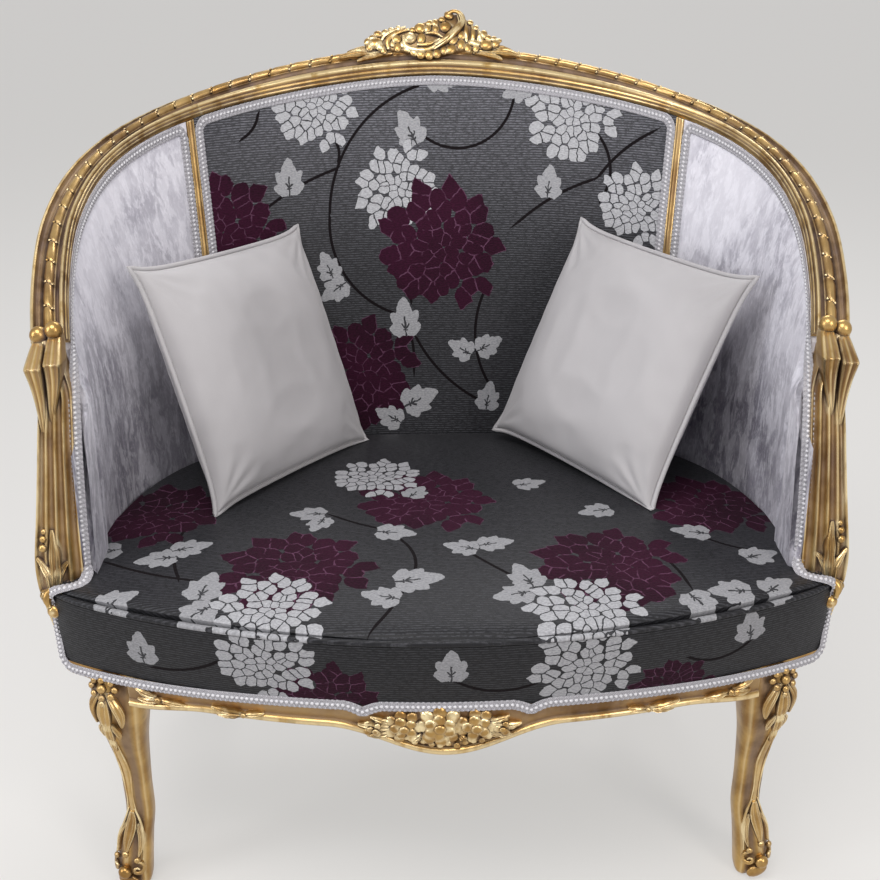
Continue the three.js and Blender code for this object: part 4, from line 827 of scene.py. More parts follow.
def makeStiles(gilding):
    profile = [(-1, -0.017, 0.6), (-1, 0.0004, 0.5), (-0.88, 0.0022, -0.1), (-0.70, 0.0024, 0.2),
               (-0.55, 0.0022, 0.5), (-0.30, 0.0032, 0.35), (0, 0.0036, 0.3), (0.30, 0.0032, 0.35),
               (0.55, 0.0022, 0.5), (0.70, 0.0024, 0.2), (0.88, 0.0022, -0.1), (1, 0.0004, 0.5),
               (1, -0.017, 0.6)]
    half = 0.0066
    for side, sign in sides.items():
        rings = []
        for rise in evenly(0, 1, 90):
            rings.append([onWall((wall["stile"] + half * s / railLength) * sign,
                                 (wall["stileBase"] + half * s / wallLength) * sign, rise, depth) for s,
                          depth, stainAndShading in profile])
        piece = smoothed(lofted("stile", rings, stainsAndShading=[stainAndShading for s, depth, stainAndShading in profile]), 32)
        gilded(f"{side}_back_stile_piece", [piece], gilding, [f"{side}_back_stile"])
    print("stiles made")


# Upholstered wall, which wraps forward along the arm supports

def tableCurve(rows):
    # smooth values between the rows of a table, from its first to its last
    def at(share):
        place = share * (len(rows) - 1)
        i = min(int(place), len(rows) - 2)
        w = place - i
        picks = [rows[min(max(i + k, 0), len(rows) - 1)] for k in (-1, 0, 1, 2)]
        return [0.5 * (2 * b + (c - a) * w + (2 * a - 5 * b + 4 * c - d) * w ** 2
                       + (3 * b - a - 3 * c + d) * w ** 3) for a, b, c, d in zip(*picks)]
    return at

def onChair(x, y, z):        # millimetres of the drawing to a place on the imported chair
    return Vector((x / 1000, y / 1000 + shiftY, z / 1000))

support = {
    # height, outer side, width, front and depth in millimetres, and reeding, from the top down
    "stations": [(721.5, 447, 30, 190, 22, 0.1), (719.5, 448.4, 33.6, 195, 28, 0.3),
                 (700, 448.5, 36, 208, 34, 0.7), (678, 448.5, 36.5, 216, 36, 1),
                 (654, 449.3, 37, 222, 38, 1), (618, 453, 39.5, 229, 39, 1), (583, 456.3, 42, 235, 40, 1),
                 (523, 464.2, 48, 240, 42, 1), (474, 470.5, 54, 245, 46, 1),
                 (443.5, 469.5, 53, 249, 48, 0.9), (424, 465.5, 50, 250, 49, 0.6),
                 (400, 461, 47, 250, 50, 0.3), (385.3, 458, 45, 250, 50, 0.2)],
    "frontReeds": 4, "sideReeds": 3, "reedDepth": 5.2, "reedSteps": 8,
    "knobRadius": 0.0102, "knobs": ((449, -186, 725.5), (431.8, -186, 731)),
    # flutes of the knuckle: middle, front, height, width and depth
    "flutes": [[(449, 184, 723.5, 8, 12), (448.2, 200, 718, 15, 20), (447.6, 228.5, 703, 20, 26),
                (447.5, 231.8, 699.8, 20.6, 27), (447.4, 230.8, 696, 20, 26), (446.6, 227.5, 680, 16, 22),
                (445.2, 227, 660, 12.5, 18), (444.6, 227.8, 642, 10, 14), (444.6, 227, 626, 8, 9)],
               [(432, 184, 729, 8, 12), (430, 200, 723, 15.5, 20), (426.6, 227.8, 708, 20, 26),
                (426.4, 230.8, 704.8, 20.6, 27), (426.5, 229.8, 701, 20, 26), (428, 226.8, 685, 17, 22),
                (430.2, 226.5, 668, 13, 18), (432.5, 227, 652, 9, 14), (434, 226.2, 638, 5, 9)]],
}

def supportAt(height):        # outer side, width, front and depth of the post
    rows, height = support["stations"], height * 1000
    i = max(k for k in range(len(rows) - 1) if rows[k][0] >= height or k == 0)
    share = min((rows[i][0] - height) / (rows[i][0] - rows[i + 1][0]), 1)
    return [mix(a, b, share) / 1000 for a, b in zip(rows[i][1:5], rows[i + 1][1:5])]

wrap = {"lead": 0.007, "cover": 0.0135}

def wrapEdge(sign, height):        # inner front corner of the arm support, and the pad's edge beside it
    outer, wide, fore, deep = supportAt(height)
    post = Vector(((outer - wide - 0.0004) * sign, -(fore - wrap["lead"]) + shiftY, height))
    return post, post - Vector((wrap["cover"] * sign, 0, 0))

def makePads(jacquard, velvet):
    random.seed(5)
    def body(name, panel, columns, rows, extra, sign=1, wraps=()):
        rings = []
        shares = [0] + evenly(panel.side, 1 - panel.side, columns) + [1]
        rises = evenly(0, panel.head, rows) + [1]
        for across in shares:
            front = [panel.at(across, rise, panel.swell(across, rise) + extra(across,
                                                                              rise)) for rise in rises]
            back = [panel.at(across, rise, -0.0165) for rise in evenly(1, 0, 10)]
            rings.append(front + back)
        for share in wraps:
            # forward along the inside of the arm support, less and less towards the top
            ring = []
            for i, place in enumerate(front):
                post, edge = wrapEdge(sign, place.z)
                held = share * (1 - smoothstep(rises[i], 0.80, 0.93))
                full = math.sin(math.pi / 2 * min(held * 1.02, 1))
                ring.append(Vector((mix(place.x, edge.x, full), mix(place.y, edge.y, held), place.z)))
            ring += [Vector((wrapEdge(sign, p.z)[0].x if rise < 0.9 else p.x,
                             ring[0].y if rise < 0.8 else p.y, p.z))
                     for rise, p in [(rise, panel.at(1, rise, 0.002)) for rise in evenly(1, 0, 10)]]
            rings.append(ring)
        return smoothed(lofted(name, rings), 60)

    def backPull(across, rise):        # faint tension folds toward the corners
        beside = (min(across, 1 - across) - backPanel.side) / 0.05
        corner = math.exp(-beside ** 2 - ((rise - 0.9) / 0.12) ** 2)
        return 0.0012 * corner * math.sin(46 * (across + rise))
    back = body("back_pad_piece", backPanel, 110, 84, backPull)
    finished(back, jacquard, "floral_jacquard", replaces=["back_pad"])

    waves = [(random.uniform(6, 22), random.uniform(5, 20), random.uniform(0, 6.28), random.uniform(0.2, 1))
             for i in range(9)]
    def crush(across, rise):        # crushed pile, in low soft creases
        height = 0
        for a, b, turn, size in waves:
            swirl = 1.5 * math.sin(5 * rise + 3 * across + turn)
            height += size * math.sin(a * across + b * rise + turn + swirl) / len(waves)
        hold = min(across, 1 - across, rise * 2, max(1 - rise, 0) * 2)
        edge = 0.0155 * smoothstep(across, 0.90, 0.985) * (1 - smoothstep(rise, 0.80, 0.96))
        return 0.0016 * height * min(hold * 9, 1) + edge
    for side, sign in sides.items():
        piece = body(f"{side}_side_pad_piece", sidePanel(sign), 84, 72, crush, sign, (0.3, 0.6, 0.85, 1))
        finished(piece, velvet, "side_velvet", replaces=[f"{side}_side_pad"])
    print("wall pads made")


# Gimp braid

gimp = {"width": 0.0122, "pitch": 0.0058, "parts": 8, "beadShare": 0.64, "beadRadius": 0.0019,
        "base": 0.0013, "thin": 0.0005, "edge": 0.0014}

def gimpRings(path):
    # a row of round beads between looped edges, from centre, across and out for each part of a bead
    half, base = gimp["width"] / 2, gimp["base"]
    def side(edge, bead):        # from the rim in to the bead
        return [(half, 0.0002), (half + edge * 0.35, edge * 0.9), (half - 0.0011, edge * 1.8),
                (half - 0.0025, edge * 1.2), (0.0029, 0.0010), (bead * 1.02, base),
                (bead * 0.78, base + bead * 0.75)]
    rings = []
    for i, (centre, across, out) in enumerate(path):
        turn = i / gimp["parts"]
        swing = (2 * (turn % 1) - 1) / gimp["beadShare"]
        bead = max(gimp["beadRadius"] * math.sqrt(max(1 - swing ** 2, 0)), gimp["thin"])
        wave = 0.28 * math.cos(2 * math.pi * turn)
        left, right = [side(gimp["edge"] * (0.72 + bulge), bead) for bulge in (wave, -wave)]
        section = [(-a, n) for a, n in left] + [(0, base + bead * 1.1)] + right[::-1] + [(0, 0.0001)]
        rings.append([centre + across * a + out * n for a, n in section])
    return rings

def makeGimp(name, stations, braid, replaces=()):
    path = gimpAlong(*[[s[i] for s in stations] for i in range(3)])
    piece = smoothed(lofted(name, gimpRings(path), size=((len(path) - 1) / gimp["parts"], 1)), 60)
    return finished(piece, braid, "gimp_braid", replaces=replaces)

def gimpAlong(points, acrosses, outs):
    # even steps along a list of stations
    lengths = [0]
    for p, q in zip(points, points[1:]):
        lengths.append(lengths[-1] + (q - p).length)
    count = max(int(lengths[-1] / gimp["pitch"]), 1) * gimp["parts"]
    path, low = [], 0
    for i in range(count + 1):
        goal = lengths[-1] * i / count
        while low < len(points) - 2 and lengths[low + 1] < goal:
            low += 1
        share = (goal - lengths[low]) / max(lengths[low + 1] - lengths[low], 1e-9)
        across = acrosses[low].lerp(acrosses[low + 1], share).normalized()
        out = outs[low].lerp(outs[low + 1], share).normalized()
        path.append((points[low].lerp(points[low + 1], share), across, out))
    return path

def panelGimp(name, panel, corners, braid, replaces, sign=0):
    # up one side of the panel, round the top corners and down the other side, which lies on the front edge of
    # the wrapped pad where a sign is given
    corner, last = corners
    width, height = panel.width, panel.height
    inset = (wall["gap"] + gimp["width"] / 2)
    left, right, top = inset / width, 1 - inset / width, 1 - inset / height
    stations = []
    def add(across, rise, ax, ay, turn=0):
        p = panel.at(across, rise, 0)
        out = (panel.at(across, rise, 0.01) - p).normalized()
        beside = panel.at(min(max(across + ax * 0.004, 0), 1), min(max(rise + ay * 0.004, 0), 1), 0) - p
        beside = (beside - out * beside.dot(out)).normalized()
        p = p + out * 0.0008
        if turn:
            post, edge = wrapEdge(sign, p.z)
            p = p.lerp(post.lerp(edge, 0.10) - Vector((0, 0.0010, 0)), turn)
            out = out.lerp(Vector((-0.28 * sign, -0.95, 0.1)), turn).normalized()
            beside = beside.lerp(Vector((-sign, 0, 0)), turn)
            beside = (beside - out * beside.dot(out)).normalized()
        stations.append((p, beside, out))
    for rise in evenly(0.0, top - corner[1], 60):
        add(left, rise, 1, 0)
    for angle in evenly(180, 90, 14)[1:]:
        a = math.radians(angle)
        add(left + corner[0] * (1 + math.cos(a)), top - corner[1] * (1 - math.sin(a)), -math.cos(a),
            -math.sin(a))
    for across in evenly(left + corner[0], right - last[0], 160)[1:]:
        add(across, top, 0, -1)
    for angle in evenly(90, 0, 14)[1:]:
        a = math.radians(angle)
        add(right - last[0] * (1 - math.cos(a)), top - last[1] * (1 - math.sin(a)), -math.cos(a),
            -math.sin(a), smoothstep(90 - angle, 0, 90) if sign else 0)
    low = 0.195 if sign else 0.0
    for rise in evenly(top - last[1], low, 60)[1:]:
        add(right, rise, -1, 0, 1 if sign else 0)
    makeGimp(name, stations, braid, replaces)

def makeWallGimps(braid):
    panelGimp("back_gimp_piece", backPanel, ((0.020, 0.028), (0.020, 0.028)), braid, ["back_gimp"])
    for side, sign in sides.items():
        panelGimp(f"{side}_gimp_piece", sidePanel(sign), ((0.020, 0.030), (0.060, 0.130)), braid,
                  [f"{side}_gimp"], sign)
    print("wall gimps made")


# Seat, its border, welt and gimp

upholstery = {
    "borderFoot": 0.3470, "borderSwell": 0.0022, "borderDepth": 0.007,
    "weltHeight": 0.4403, "weltRise": 0.0037, "weltReach": 0.0036, "weltOut": 0.0017,
    "coverInset": 0.0034, "coverHalf": 0.412, "coverSwell": 0.0030, "coverDip": 0.0010,
    "coverUnder": 0.4135, "coverTurn": 0.4362, "coverLip": 0.0065,
    "gimpHeight": 0.349, "gimpTop": 0.4290, "gimpTurn": 0.016, "gimpOut": 0.0012,
}

def makeBorder(cloth):
    rings = []
    for run in evenly(-borderLength / 2, borderLength / 2, 220):
        ring = []
        for rise in evenly(0, 1, 16):
            z = mix(upholstery["borderFoot"], seat["borderTop"], rise)
            ring.append(onBorder(run, z, upholstery["borderSwell"] * math.sin(math.pi * rise) ** 0.7))
        behind = evenly(seat["borderTop"], upholstery["borderFoot"], 4)
        rings.append(ring + [onBorder(run, z, -upholstery["borderDepth"]) for z in behind])
    border = smoothed(lofted("seat_front_border_piece", rings), 50)
    finished(border, cloth, "floral_jacquard", replaces=["seat_front_border"])

def makeWelt(cloth):
    rings = []
    for run in evenly(-borderLength / 2, borderLength / 2, 400):
        ring = []
        for angle in evenly(0, 2 * math.pi, 12)[:-1]:
            out = upholstery["weltOut"] + upholstery["weltReach"] * (math.cos(angle) - 1)
            p = onBorder(run, seat["borderTop"], out)
            p.z = upholstery["weltHeight"] + upholstery["weltRise"] * math.sin(angle)
            ring.append(p)
        rings.append(ring)
    welt = smoothed(lofted("seat_welt_piece", rings), 60)
    finished(welt, cloth, "floral_jacquard", replaces=["seat_welt"])

def lastShare(holds, steps=26):        # of 0 to 1 up to which a test holds
    low, high = 0.0, 1.0
    for step in range(steps):
        middle = (low + high) / 2
        low, high = (middle, high) if holds(middle) else (low, middle)
    return low

def makeSeatCover(cloth):
    # rows from the front edge back to the wall, each as wide as the space between the arms
    front = splineThrough(wholeWidth(frontEdge(seat["topY"], seat["topArc"], upholstery["coverInset"])))[0]
    rings = []
    for across in evenly(-1, 1, 150):
        start = front(0.5 + 0.4975 * math.sin(across * math.pi / 2))        # rows crowd at the turns
        reach = min(abs(start.x), upholstery["coverHalf"])
        end = wallPlan(lastShare(lambda share: abs(wallPlan(share).x) < reach))
        end = Vector((math.copysign(max(abs(end.x) - 0.002, 0), start.x), end.y - 0.006, 0))
        ring = []
        for rise in evenly(0, 1, 110):
            p = start.lerp(end, rise ** 1.15)
            near = (p - start).length
            swell = (1 - math.exp(-near / 0.003)) * (1 - smoothstep(near, 0.05, 0.30))
            dip = upholstery["coverDip"] * math.exp(-near / 0.004)
            p.z = seatHeight(p.x, p.y) + upholstery["coverSwell"] * swell - dip
            ring.append(p)
        lip = start.lerp(end, upholstery["coverLip"] / max((end - start).length, 0.01))
        ring += [Vector((p.x, p.y, upholstery["coverUnder"])) for p in (end, start.lerp(end, 0.66),
                                                                        start.lerp(end, 0.33), lip)]
        rings.append(ring + [Vector((lip.x, lip.y, upholstery["coverTurn"]))])
    cover = smoothed(lofted("seat_cover_piece", rings), 50)
    finished(cover, cloth, "floral_jacquard", replaces=["seat_cover"])

def makeSeatGimp(braid):
    # along the foot of the border, up at the corners and round the feet of the arm supports
    turn = upholstery["gimpTurn"]
    turnStart = borderLength / 2 - turn - gimp["width"] / 2 - wall["gap"]
    def height(run):
        away = abs(abs(run) - seat["cuspX"]) / 0.022
        fall = 0.010 * smoothstep(abs(run), seat["cuspX"], seat["cornerX"])
        return upholstery["gimpHeight"] - 0.009 * max(1 - away, 0) ** 1.3 - fall
    def onFace(run, z):
        return onBorder(run, z, upholstery["gimpOut"]), (onBorder(run, z, 0.01) - onBorder(run, z,
                                                                                           0)).normalized()
    ends = []
    for angle in evenly(0, math.pi / 2, 16)[1:]:
        ends.append(onFace(turnStart + turn * math.sin(angle),
                           height(turnStart) + turn * (1 - math.cos(angle))))
    for z in evenly(height(turnStart) + turn, upholstery["gimpTop"], 28)[1:]:
        ends.append(onFace(turnStart + turn, z))
    post, edge = wrapEdge(1, 0.452)
    last, side = ends[-1]
    # place and outward direction of each station round the foot of the support
    corner = tableCurve([
        (*last, *side), (0.4500, -0.2640, 0.4415, 0.55, -0.65, 0.45), (0.4400, -0.2680, 0.4482, 0.15, -0.35,
                                                                       0.92),
        (0.4260, -0.2660, 0.4505, 0, -0.15, 0.98), (0.4150, -0.2590, 0.4520, -0.1, -0.2, 0.96),
        (mix(post.x, edge.x, 0.30), post.y - 0.0045, 0.4570, -0.2, -0.7, 0.6),
        (mix(post.x, edge.x, 0.14), post.y - 0.0010, 0.4640, -0.28, -0.95, 0.1)])
    for share in evenly(0, 1, 48)[1:]:
        values = corner(share)
        ends.append((Vector(values[:3]), Vector(values[3:]).normalized()))
    foot = [onFace(run, height(run)) for run in evenly(-turnStart, turnStart, 400)]
    mirror = Vector((-1, 1, 1))
    places = [(p * mirror, out * mirror) for p, out in ends[::-1]] + foot + ends
    stations = []
    for i, (p, out) in enumerate(places):
        along = places[min(i + 1, len(places) - 1)][0] - places[max(i - 1, 0)][0]
        stations.append((p, out.cross(along).normalized(), out))
    makeGimp("seat_gimp_piece", stations, braid, ["seat_gimp"])

def makeSeat(jacquard, frontJacquard, braid):
    makeBorder(frontJacquard)
    makeWelt(jacquard)
    makeSeatCover(jacquard)
    makeSeatGimp(braid)
    print("seat made")


# Carving: leaves, scrolls and balls in millimetres, laid on a face by a function of across, up and out

def carvedLeaf(where, base, tip, width, lift, lobes=3, curl=0, bow=0, depth=3):
    base, tip = Vector(base), Vector(tip)
    along = tip - base
    beside = Vector((-along.y, along.x)).normalized()
    rings = []
    for v in [0.0, 0.03] + evenly(0.07, 0.93, 20) + [0.97, 1.0]:
        edge = max(math.sin(math.pi * min(v * 0.93 + 0.05, 1)), 0) ** 0.48 * (1 - 0.25 * v * v)
        notch = 0.80 + 0.20 * abs(math.cos(lobes * math.pi * v)) ** 0.8 if lobes else 1
        half = width / 2 * edge * notch
        middle = base + along * v + beside * (bow * along.length * math.sin(math.pi * v))
        swell = lift * max(math.sin(math.pi * (0.12 + 0.80 * v)), 0) + curl * v ** 3
        ring = []
        for u in evenly(-1, 1, 12):
            rib = 0.16 * lift * math.cos(5 * math.pi * u) - 0.42 * lift * math.exp(-(u / 0.13) ** 2)
            top = swell * (0.40 + 0.60 * math.sqrt(max(1 - u * u, 0))) + rib * edge
            q = middle + beside * (half * u)
            ring.append(where(q.x, q.y, top))
        for u in (0.8, 0, -0.8):
            q = middle + beside * (half * u)
            ring.append(where(q.x, q.y, min(-depth, swell - depth)))
        rings.append(ring)
    return smoothed(lofted("leaf", rings), 50)

def spiral(where, centre, reach, turns, thick, rise, start=0.0, hand=1):
    # a scroll that rolls in to its centre
    path, radii = [], []
    for t in evenly(0, 1, 34):
        angle = start + hand * 2 * math.pi * turns * t
        away = reach * (1 - 0.86 * t ** 0.8)
        path.append(where(centre[0] + away * math.cos(angle), centre[1] + away * math.sin(angle),
                          rise * (0.3 + 0.7 * t)))
        radii.append(thick / 1000 * (0.55 + 0.45 * math.sin(math.pi * min(t * 1.3, 1))) * (1 - 0.35 * t))
    out = (where(*centre, 10) - where(*centre, 0)).normalized()
    return tapered("scroll", path, radii, sideways=out, sides=10)

def bar(where, points, radii, flat=1.0):
    # a round or flat bar through places on the face
    read, length = splineThrough([Vector(p) for p in points], 120)
    path = [where(*read(t)) for t in evenly(0, 1, 26)]
    sizes = [mix(*radii, math.sin(math.pi * min(t / 0.85, 1))) / 1000 for t in evenly(0, 1, 26)]
    out = (where(*points[0][:2], 10) - where(*points[0][:2], 0)).normalized()
    return tapered("bar", path, sizes, flat, out, 12)

def ball(where, x, y, radius, flat=0.9, rise=0.0, stretch=1.0, turn=0.0):
    out = (where(x, y, rise + 20) - where(x, y, rise)).normalized()
    facing = out.to_track_quat("Z", "Y").to_matrix().to_4x4() @ Matrix.Rotation(math.radians(turn), 4, "Z")
    return rounded("ball", where(x, y, rise), radius / 1000, (stretch, 1, flat), (14, 9), facing)

# Arm supports, with reeded faces and two flutes that meet in a knuckle under the hand

def postSection(width, depth, reeding):
    # outer side from back to front, the front face inward, then the plain inner side and back; with stains,
    # which are patina and painted shade in the grooves and wear and painted highlight on the reeds
    deep = support["reedDepth"] * reeding
    points = []
    def coves(reeds, first):        # share along a reeded face and how far it is hollowed there
        for i in range(first, reeds * support["reedSteps"] + 1):
            t = i / (reeds * support["reedSteps"])
            yield t, 1 - abs(math.cos(math.pi * reeds * t)) ** 2.6
    for t, groove in coves(support["sideReeds"], 0):
        points.append((groove * deep, depth * (1 - t), 1.2 * groove - 0.5))
    for t, groove in coves(support["frontReeds"], 1):
        bow = 4 * (1 - (2 * t - 1) ** 2)
        points.append((width * t, groove * deep - bow * reeding, 1.2 * groove - 0.5))
    return points + [(width, depth * 0.12, 0.5), (width, depth * 0.7, 0.5), (width * 0.92, depth, 0.5),
                     (width * 0.5, depth, 0.5)]

def rounded(name, place, radius, scale=(1, 1, 1), parts=(20, 12), turn=None):
    deselect()
    bpy.ops.mesh.primitive_uv_sphere_add(segments=parts[0], ring_count=parts[1], radius=radius,
                                         location=(0, 0, 0))
    ball = bpy.context.object
    ball.name = name
    bpy.ops.object.shade_smooth()
    matrix = Matrix.Translation(place) @ (turn or Matrix()) @ Matrix.Diagonal((*scale, 1))
    ball.data.transform(matrix)
    return ball

def tapered(name, path, radii, flat=1.0, sideways=None, sides=12):
    # a round bar along a path, with a radius for each station
    rings = []
    for i, p in enumerate(path):
        along = (path[min(i + 1, len(path) - 1)] - path[max(i - 1, 0)]).normalized()
        across = (sideways or Vector((0, 0, 1))).cross(along)
        across = across.normalized() if across.length > 1e-4 else along.orthogonal().normalized()
        out = along.cross(across)
        rings.append(circled(p, across, out * flat, radii[i], sides))
    return smoothed(lofted(name, rings), 70)

fluteOutline = [(-1, 1, 0.5), (-1, 0.42, 0.6), (-0.97, 0.22, 0.2), (-0.86, 0.06, -0.7), (-0.70, 0.0, -0.4),
                (-0.55, 0.06, 0.5), (-0.34, 0.08, 0.6), (-0.16, 0.03, -0.1), (0, 0.0, -0.6),
                (0.16, 0.03, -0.1), (0.34, 0.08, 0.6), (0.55, 0.06, 0.5), (0.70, 0.0, -0.4),
                (0.86, 0.06, -0.7), (0.97, 0.22, 0.2), (1, 0.42, 0.6), (1, 1, 0.5)]

def fluteRing(sign, x, fore, z, wide, deep):
    return [onChair((x + a * wide / 2) * sign, b * deep - fore, z) for a, b, stainAndShading in fluteOutline]

def makeSupports(gilding):
    curve = tableCurve(support["stations"])
    for side, sign in sides.items():
        rings = []
        for share in evenly(0, 1, 170):
            z, outer, wide, fore, deep, reeding = curve(share)
            wide -= 13 * smoothstep(z, 660, 720)        # leans away from the pad towards the knobs
            section = postSection(wide, deep, min(reeding, 1))
            rings.append([onChair((outer - a) * sign, b - fore, z) for a, b, stainAndShading in section])
        pieces = [smoothed(lofted("post", rings, stainsAndShading=[stainAndShading for a, b, stainAndShading in section]), 40)]
        for stations in support["flutes"]:
            read = tableCurve(stations)
            rings = [fluteRing(sign, *read(share)) for share in evenly(0, 1, 64)]
            pieces.append(smoothed(lofted("flute", rings, stainsAndShading=[stainAndShading for a, b, stainAndShading in fluteOutline]),
                                   42))
        for x, y, z in support["knobs"]:
            pieces.append(rounded("knob", onChair(x * sign, y, z), support["knobRadius"], (1, 1, 1.05)))
        def where(x, y, z):        # front face of the post: across from its middle, height and out
            outer, wide, fore, deep = supportAt(y / 1000)
            return Vector(((outer - wide / 2 + x / 1000) * sign, -fore + shiftY - z / 1000, y / 1000))
        # palmette: a long leaf between two turned ones, three beads over it and a scroll end below
        for base, tip, width, lift, bow in (((8, 430), (6, 512), 17, 8, 0.05),
                                            ((12, 432), (24, 478), 14, 7, 0.16),
                                            ((2, 432), (-12, 474), 14, 6, -0.16),
                                            ((14, 438), (25, 424), 13, 6, 0.1),
                                            ((-2, 440), (-16, 446), 12, 5, -0.1)):
            pieces.append(carvedLeaf(where, base, tip, width, lift, bow=bow))
        for x, z, radius in ((16.5, 490, 0.0052), (16, 501, 0.0044), (15, 510, 0.0035)):
            pieces.append(rounded("bead", where(x, z, 1), radius))
        pieces.append(bar(where, [(10, 442, 4), (17, 432, 8), (16, 421, 11)], (3.5, 5.5)))
        pieces.append(rounded("scroll", where(12, 415, 8), 0.0088, (1, 0.9, 1)))
        pieces.append(spiral(where, (12, 415), 8.5, 1.3, 2.8, 15))
        gilded(f"{side}_arm_support_piece", pieces, gilding, [f"{side}_arm_support"])
    print("arm supports made")


# Seat rails

apron = {"low": 0.316, "drop": 0.035, "dropHalf": 0.135, "sweep": 0.012, "sweepStart": 0.270,
         "reach": 0.3697, "top": 0.346}

def apronLow(x):
    share = min(abs(x) / apron["dropHalf"], 1)
    return (apron["low"] - apron["drop"] * math.cos(share * math.pi / 2) ** 2
            - apron["sweep"] * smoothstep(abs(x), apron["sweepStart"], apron["reach"]))

framePlan, frameLength = halfCurve(ovalPoints(0.464, 0.286, -0.040, 2.25) + [
    Vector((0.464, mix(-0.040, -0.190, 0.5) + shiftY, 0)), Vector((0.464, -0.190 + shiftY, 0))])

@lru_cache(maxsize=None)
def planFrame(share):
    along = (framePlan(min(share + stepShare, 1)) - framePlan(max(share - stepShare, -1))).normalized()
    return framePlan(share), Vector((along.y, -along.x, 0))

def makeSeatRails(gilding):
    rings = []
    for x in evenly(-apron["reach"], apron["reach"], 260):
        low, face = apronLow(x), arcY(x, seat["faceY"], seat["arc"])
        bead = [(0.0016 - 0.0040 * math.cos(a), low + 0.0046 + 0.0042 * math.sin(a))
                for a in [math.radians(t) for t in range(75, -76, -25)]]
        section = [(0.0100, apron["top"]), (0.0006, apron["top"]), (0, apron["top"] - 0.001),
                   (0.0005, mix(apron["top"], low, 0.4)), (0.0025, low + 0.0135), (0.0028, low + 0.0105),
                   (0.0010, low + 0.0098)] + bead + [
                   (0.0042, low + 0.0004), (0.0075, low), (0.014, low), (0.014, 0.320), (0.040, 0.320),
                       (0.040, 0.385),
                   (0.010, 0.385)]
        rings.append([Vector((x, face + depth, z)) for depth, z in section])
    stainsAndShading = [0, 0.5, 0.6, 0.6, 0.55, 0.7, 0.8, 0.2, -0.2, -0.6, -0.7, -0.6, -0.2, 0.2] + [0.4] * 7
    front = smoothed(lofted("front_rail_board", rings, stainsAndShading=stainsAndShading), 32)
    gilded("front_seat_rail_piece", [front], gilding, ["front_seat_rail"])

    # inset and height of the other rails in millimetres
    board = [(0, 385), (0, 337), (-2.5, 335), (-4.2, 332.2), (-4.6, 329), (-3.6, 326.2), (-1.2, 324.8),
             (-1.6, 322.6), (-3, 320.6), (-3, 318.2), (-1.4, 316.6), (4, 316), (8, 320), (30, 320),
             (30, 385)]
    spans = {"rear_seat_rail": (-0.430, 0.430)}
    for side, sign in sides.items():
        spans[f"{side}_seat_rail"] = tuple(sorted((0.4836 * sign, 1 * sign)))
    for node, (start, end) in spans.items():
        rings = []
        for share in evenly(start, end, 130):
            origin, inward = planFrame(share)
            rings.append([Vector((origin.x, origin.y, z / 1000)) + inward * (inset / 1000) for inset,
                          z in board])
        if node != "rear_seat_rail":        # on to the leg in front
            reach = Vector((0, -0.0122, 0))
            front = [p + reach for p in rings[0 if start < 0 else -1]]
            rings.insert(0 if start < 0 else len(rings), front)
        gilded(f"{node}_piece", [smoothed(lofted("rail", rings), 32)], gilding, [node])
    print("seat rails made")


# Legs

legs = {
    "top": 0.330, "glide": 0.003, "edge": 292,
    # shares of the height, of the sway outward, of the bow backward and of the half width
    "front": {"x": 0.388, "y": -0.243 + shiftY, "half": 0.029, "sway": 0.014, "bow": 0.010, "stations": [
        (1, 0, 0, 1.12), (0.908, 0, -1, 1.12), (0.792, 0.1, -0.6, 1.0), (0.676, 0.1, -0.1, 0.80),
        (0.557, -0.05, 0.3, 0.63), (0.44, -0.05, 0.5, 0.575), (0.312, 0, 0.6, 0.585),
        (0.199, 0.55, 0.5, 0.68),
        (0.101, 0.85, 0.2, 0.72), (0.028, 0.75, -0.1, 0.62), (0, 0.64, -0.1, 0.5)]},
    "rear": {"x": 0.320, "y": 0.148 + shiftY, "half": 0.021, "sway": 0.019, "bow": 0.093, "stations": [
        (1, 0, 0, 1), (0.878, 0.21, 0.086, 1), (0.664, 0.32, 0.247, 0.833), (0.419, 0.53, 0.505, 0.714),
        (0.174, 0.79, 0.806, 0.738), (0.052, 0.95, 0.957, 0.81), (0, 1, 1, 0.714)]},
    "postOutline": [(0, 0), (0, 0.5), (0, 1), (0.16, 1), (0.31, 0.93), (0.52, 0.82), (0.7, 0.68),
                    (0.86, 0.58), (0.95, 0.48), (1, 0.3), (1, 0), (0.5, 0)],
}

def turnFromEdge(angle):        # round a front leg, either way from its front outer edge
    return abs((angle - math.radians(legs["edge"]) + math.pi) % (2 * math.pi) - math.pi)

def legRings(kind, sign, ridge):
    part = legs[kind]
    curve = tableCurve(part["stations"])
    rings = []
    for share in evenly(0, 1, 110):
        height, sway, bow, width = curve(share)
        z = mix(legs["glide"], legs["top"], height)
        centre = Vector(((part["x"] + sway * part["sway"]) * sign, part["y"] + bow * part["bow"], z))
        ring = []
        for angle in evenly(0, 2 * math.pi, 40)[:-1]:
            c, s = math.cos(angle), math.sin(angle)
            square = (abs(c) ** 3.2 + abs(s) ** 3.2) ** (-1 / 3.2)
            away = turnFromEdge(angle)
            crest = 0.08 * math.exp(-(away / 0.16) ** 2) - 0.07 * math.exp(-((away - 0.50) / 0.18) ** 2)
            crest = 1 + ridge * (crest + 0.04 * math.exp(-((away - 0.88) / 0.08) ** 2))
            radius = part["half"] * width * square * crest
            ring.append(centre + Vector((radius * c * sign, radius * s, 0)))
        rings.append(ring)
    return rings

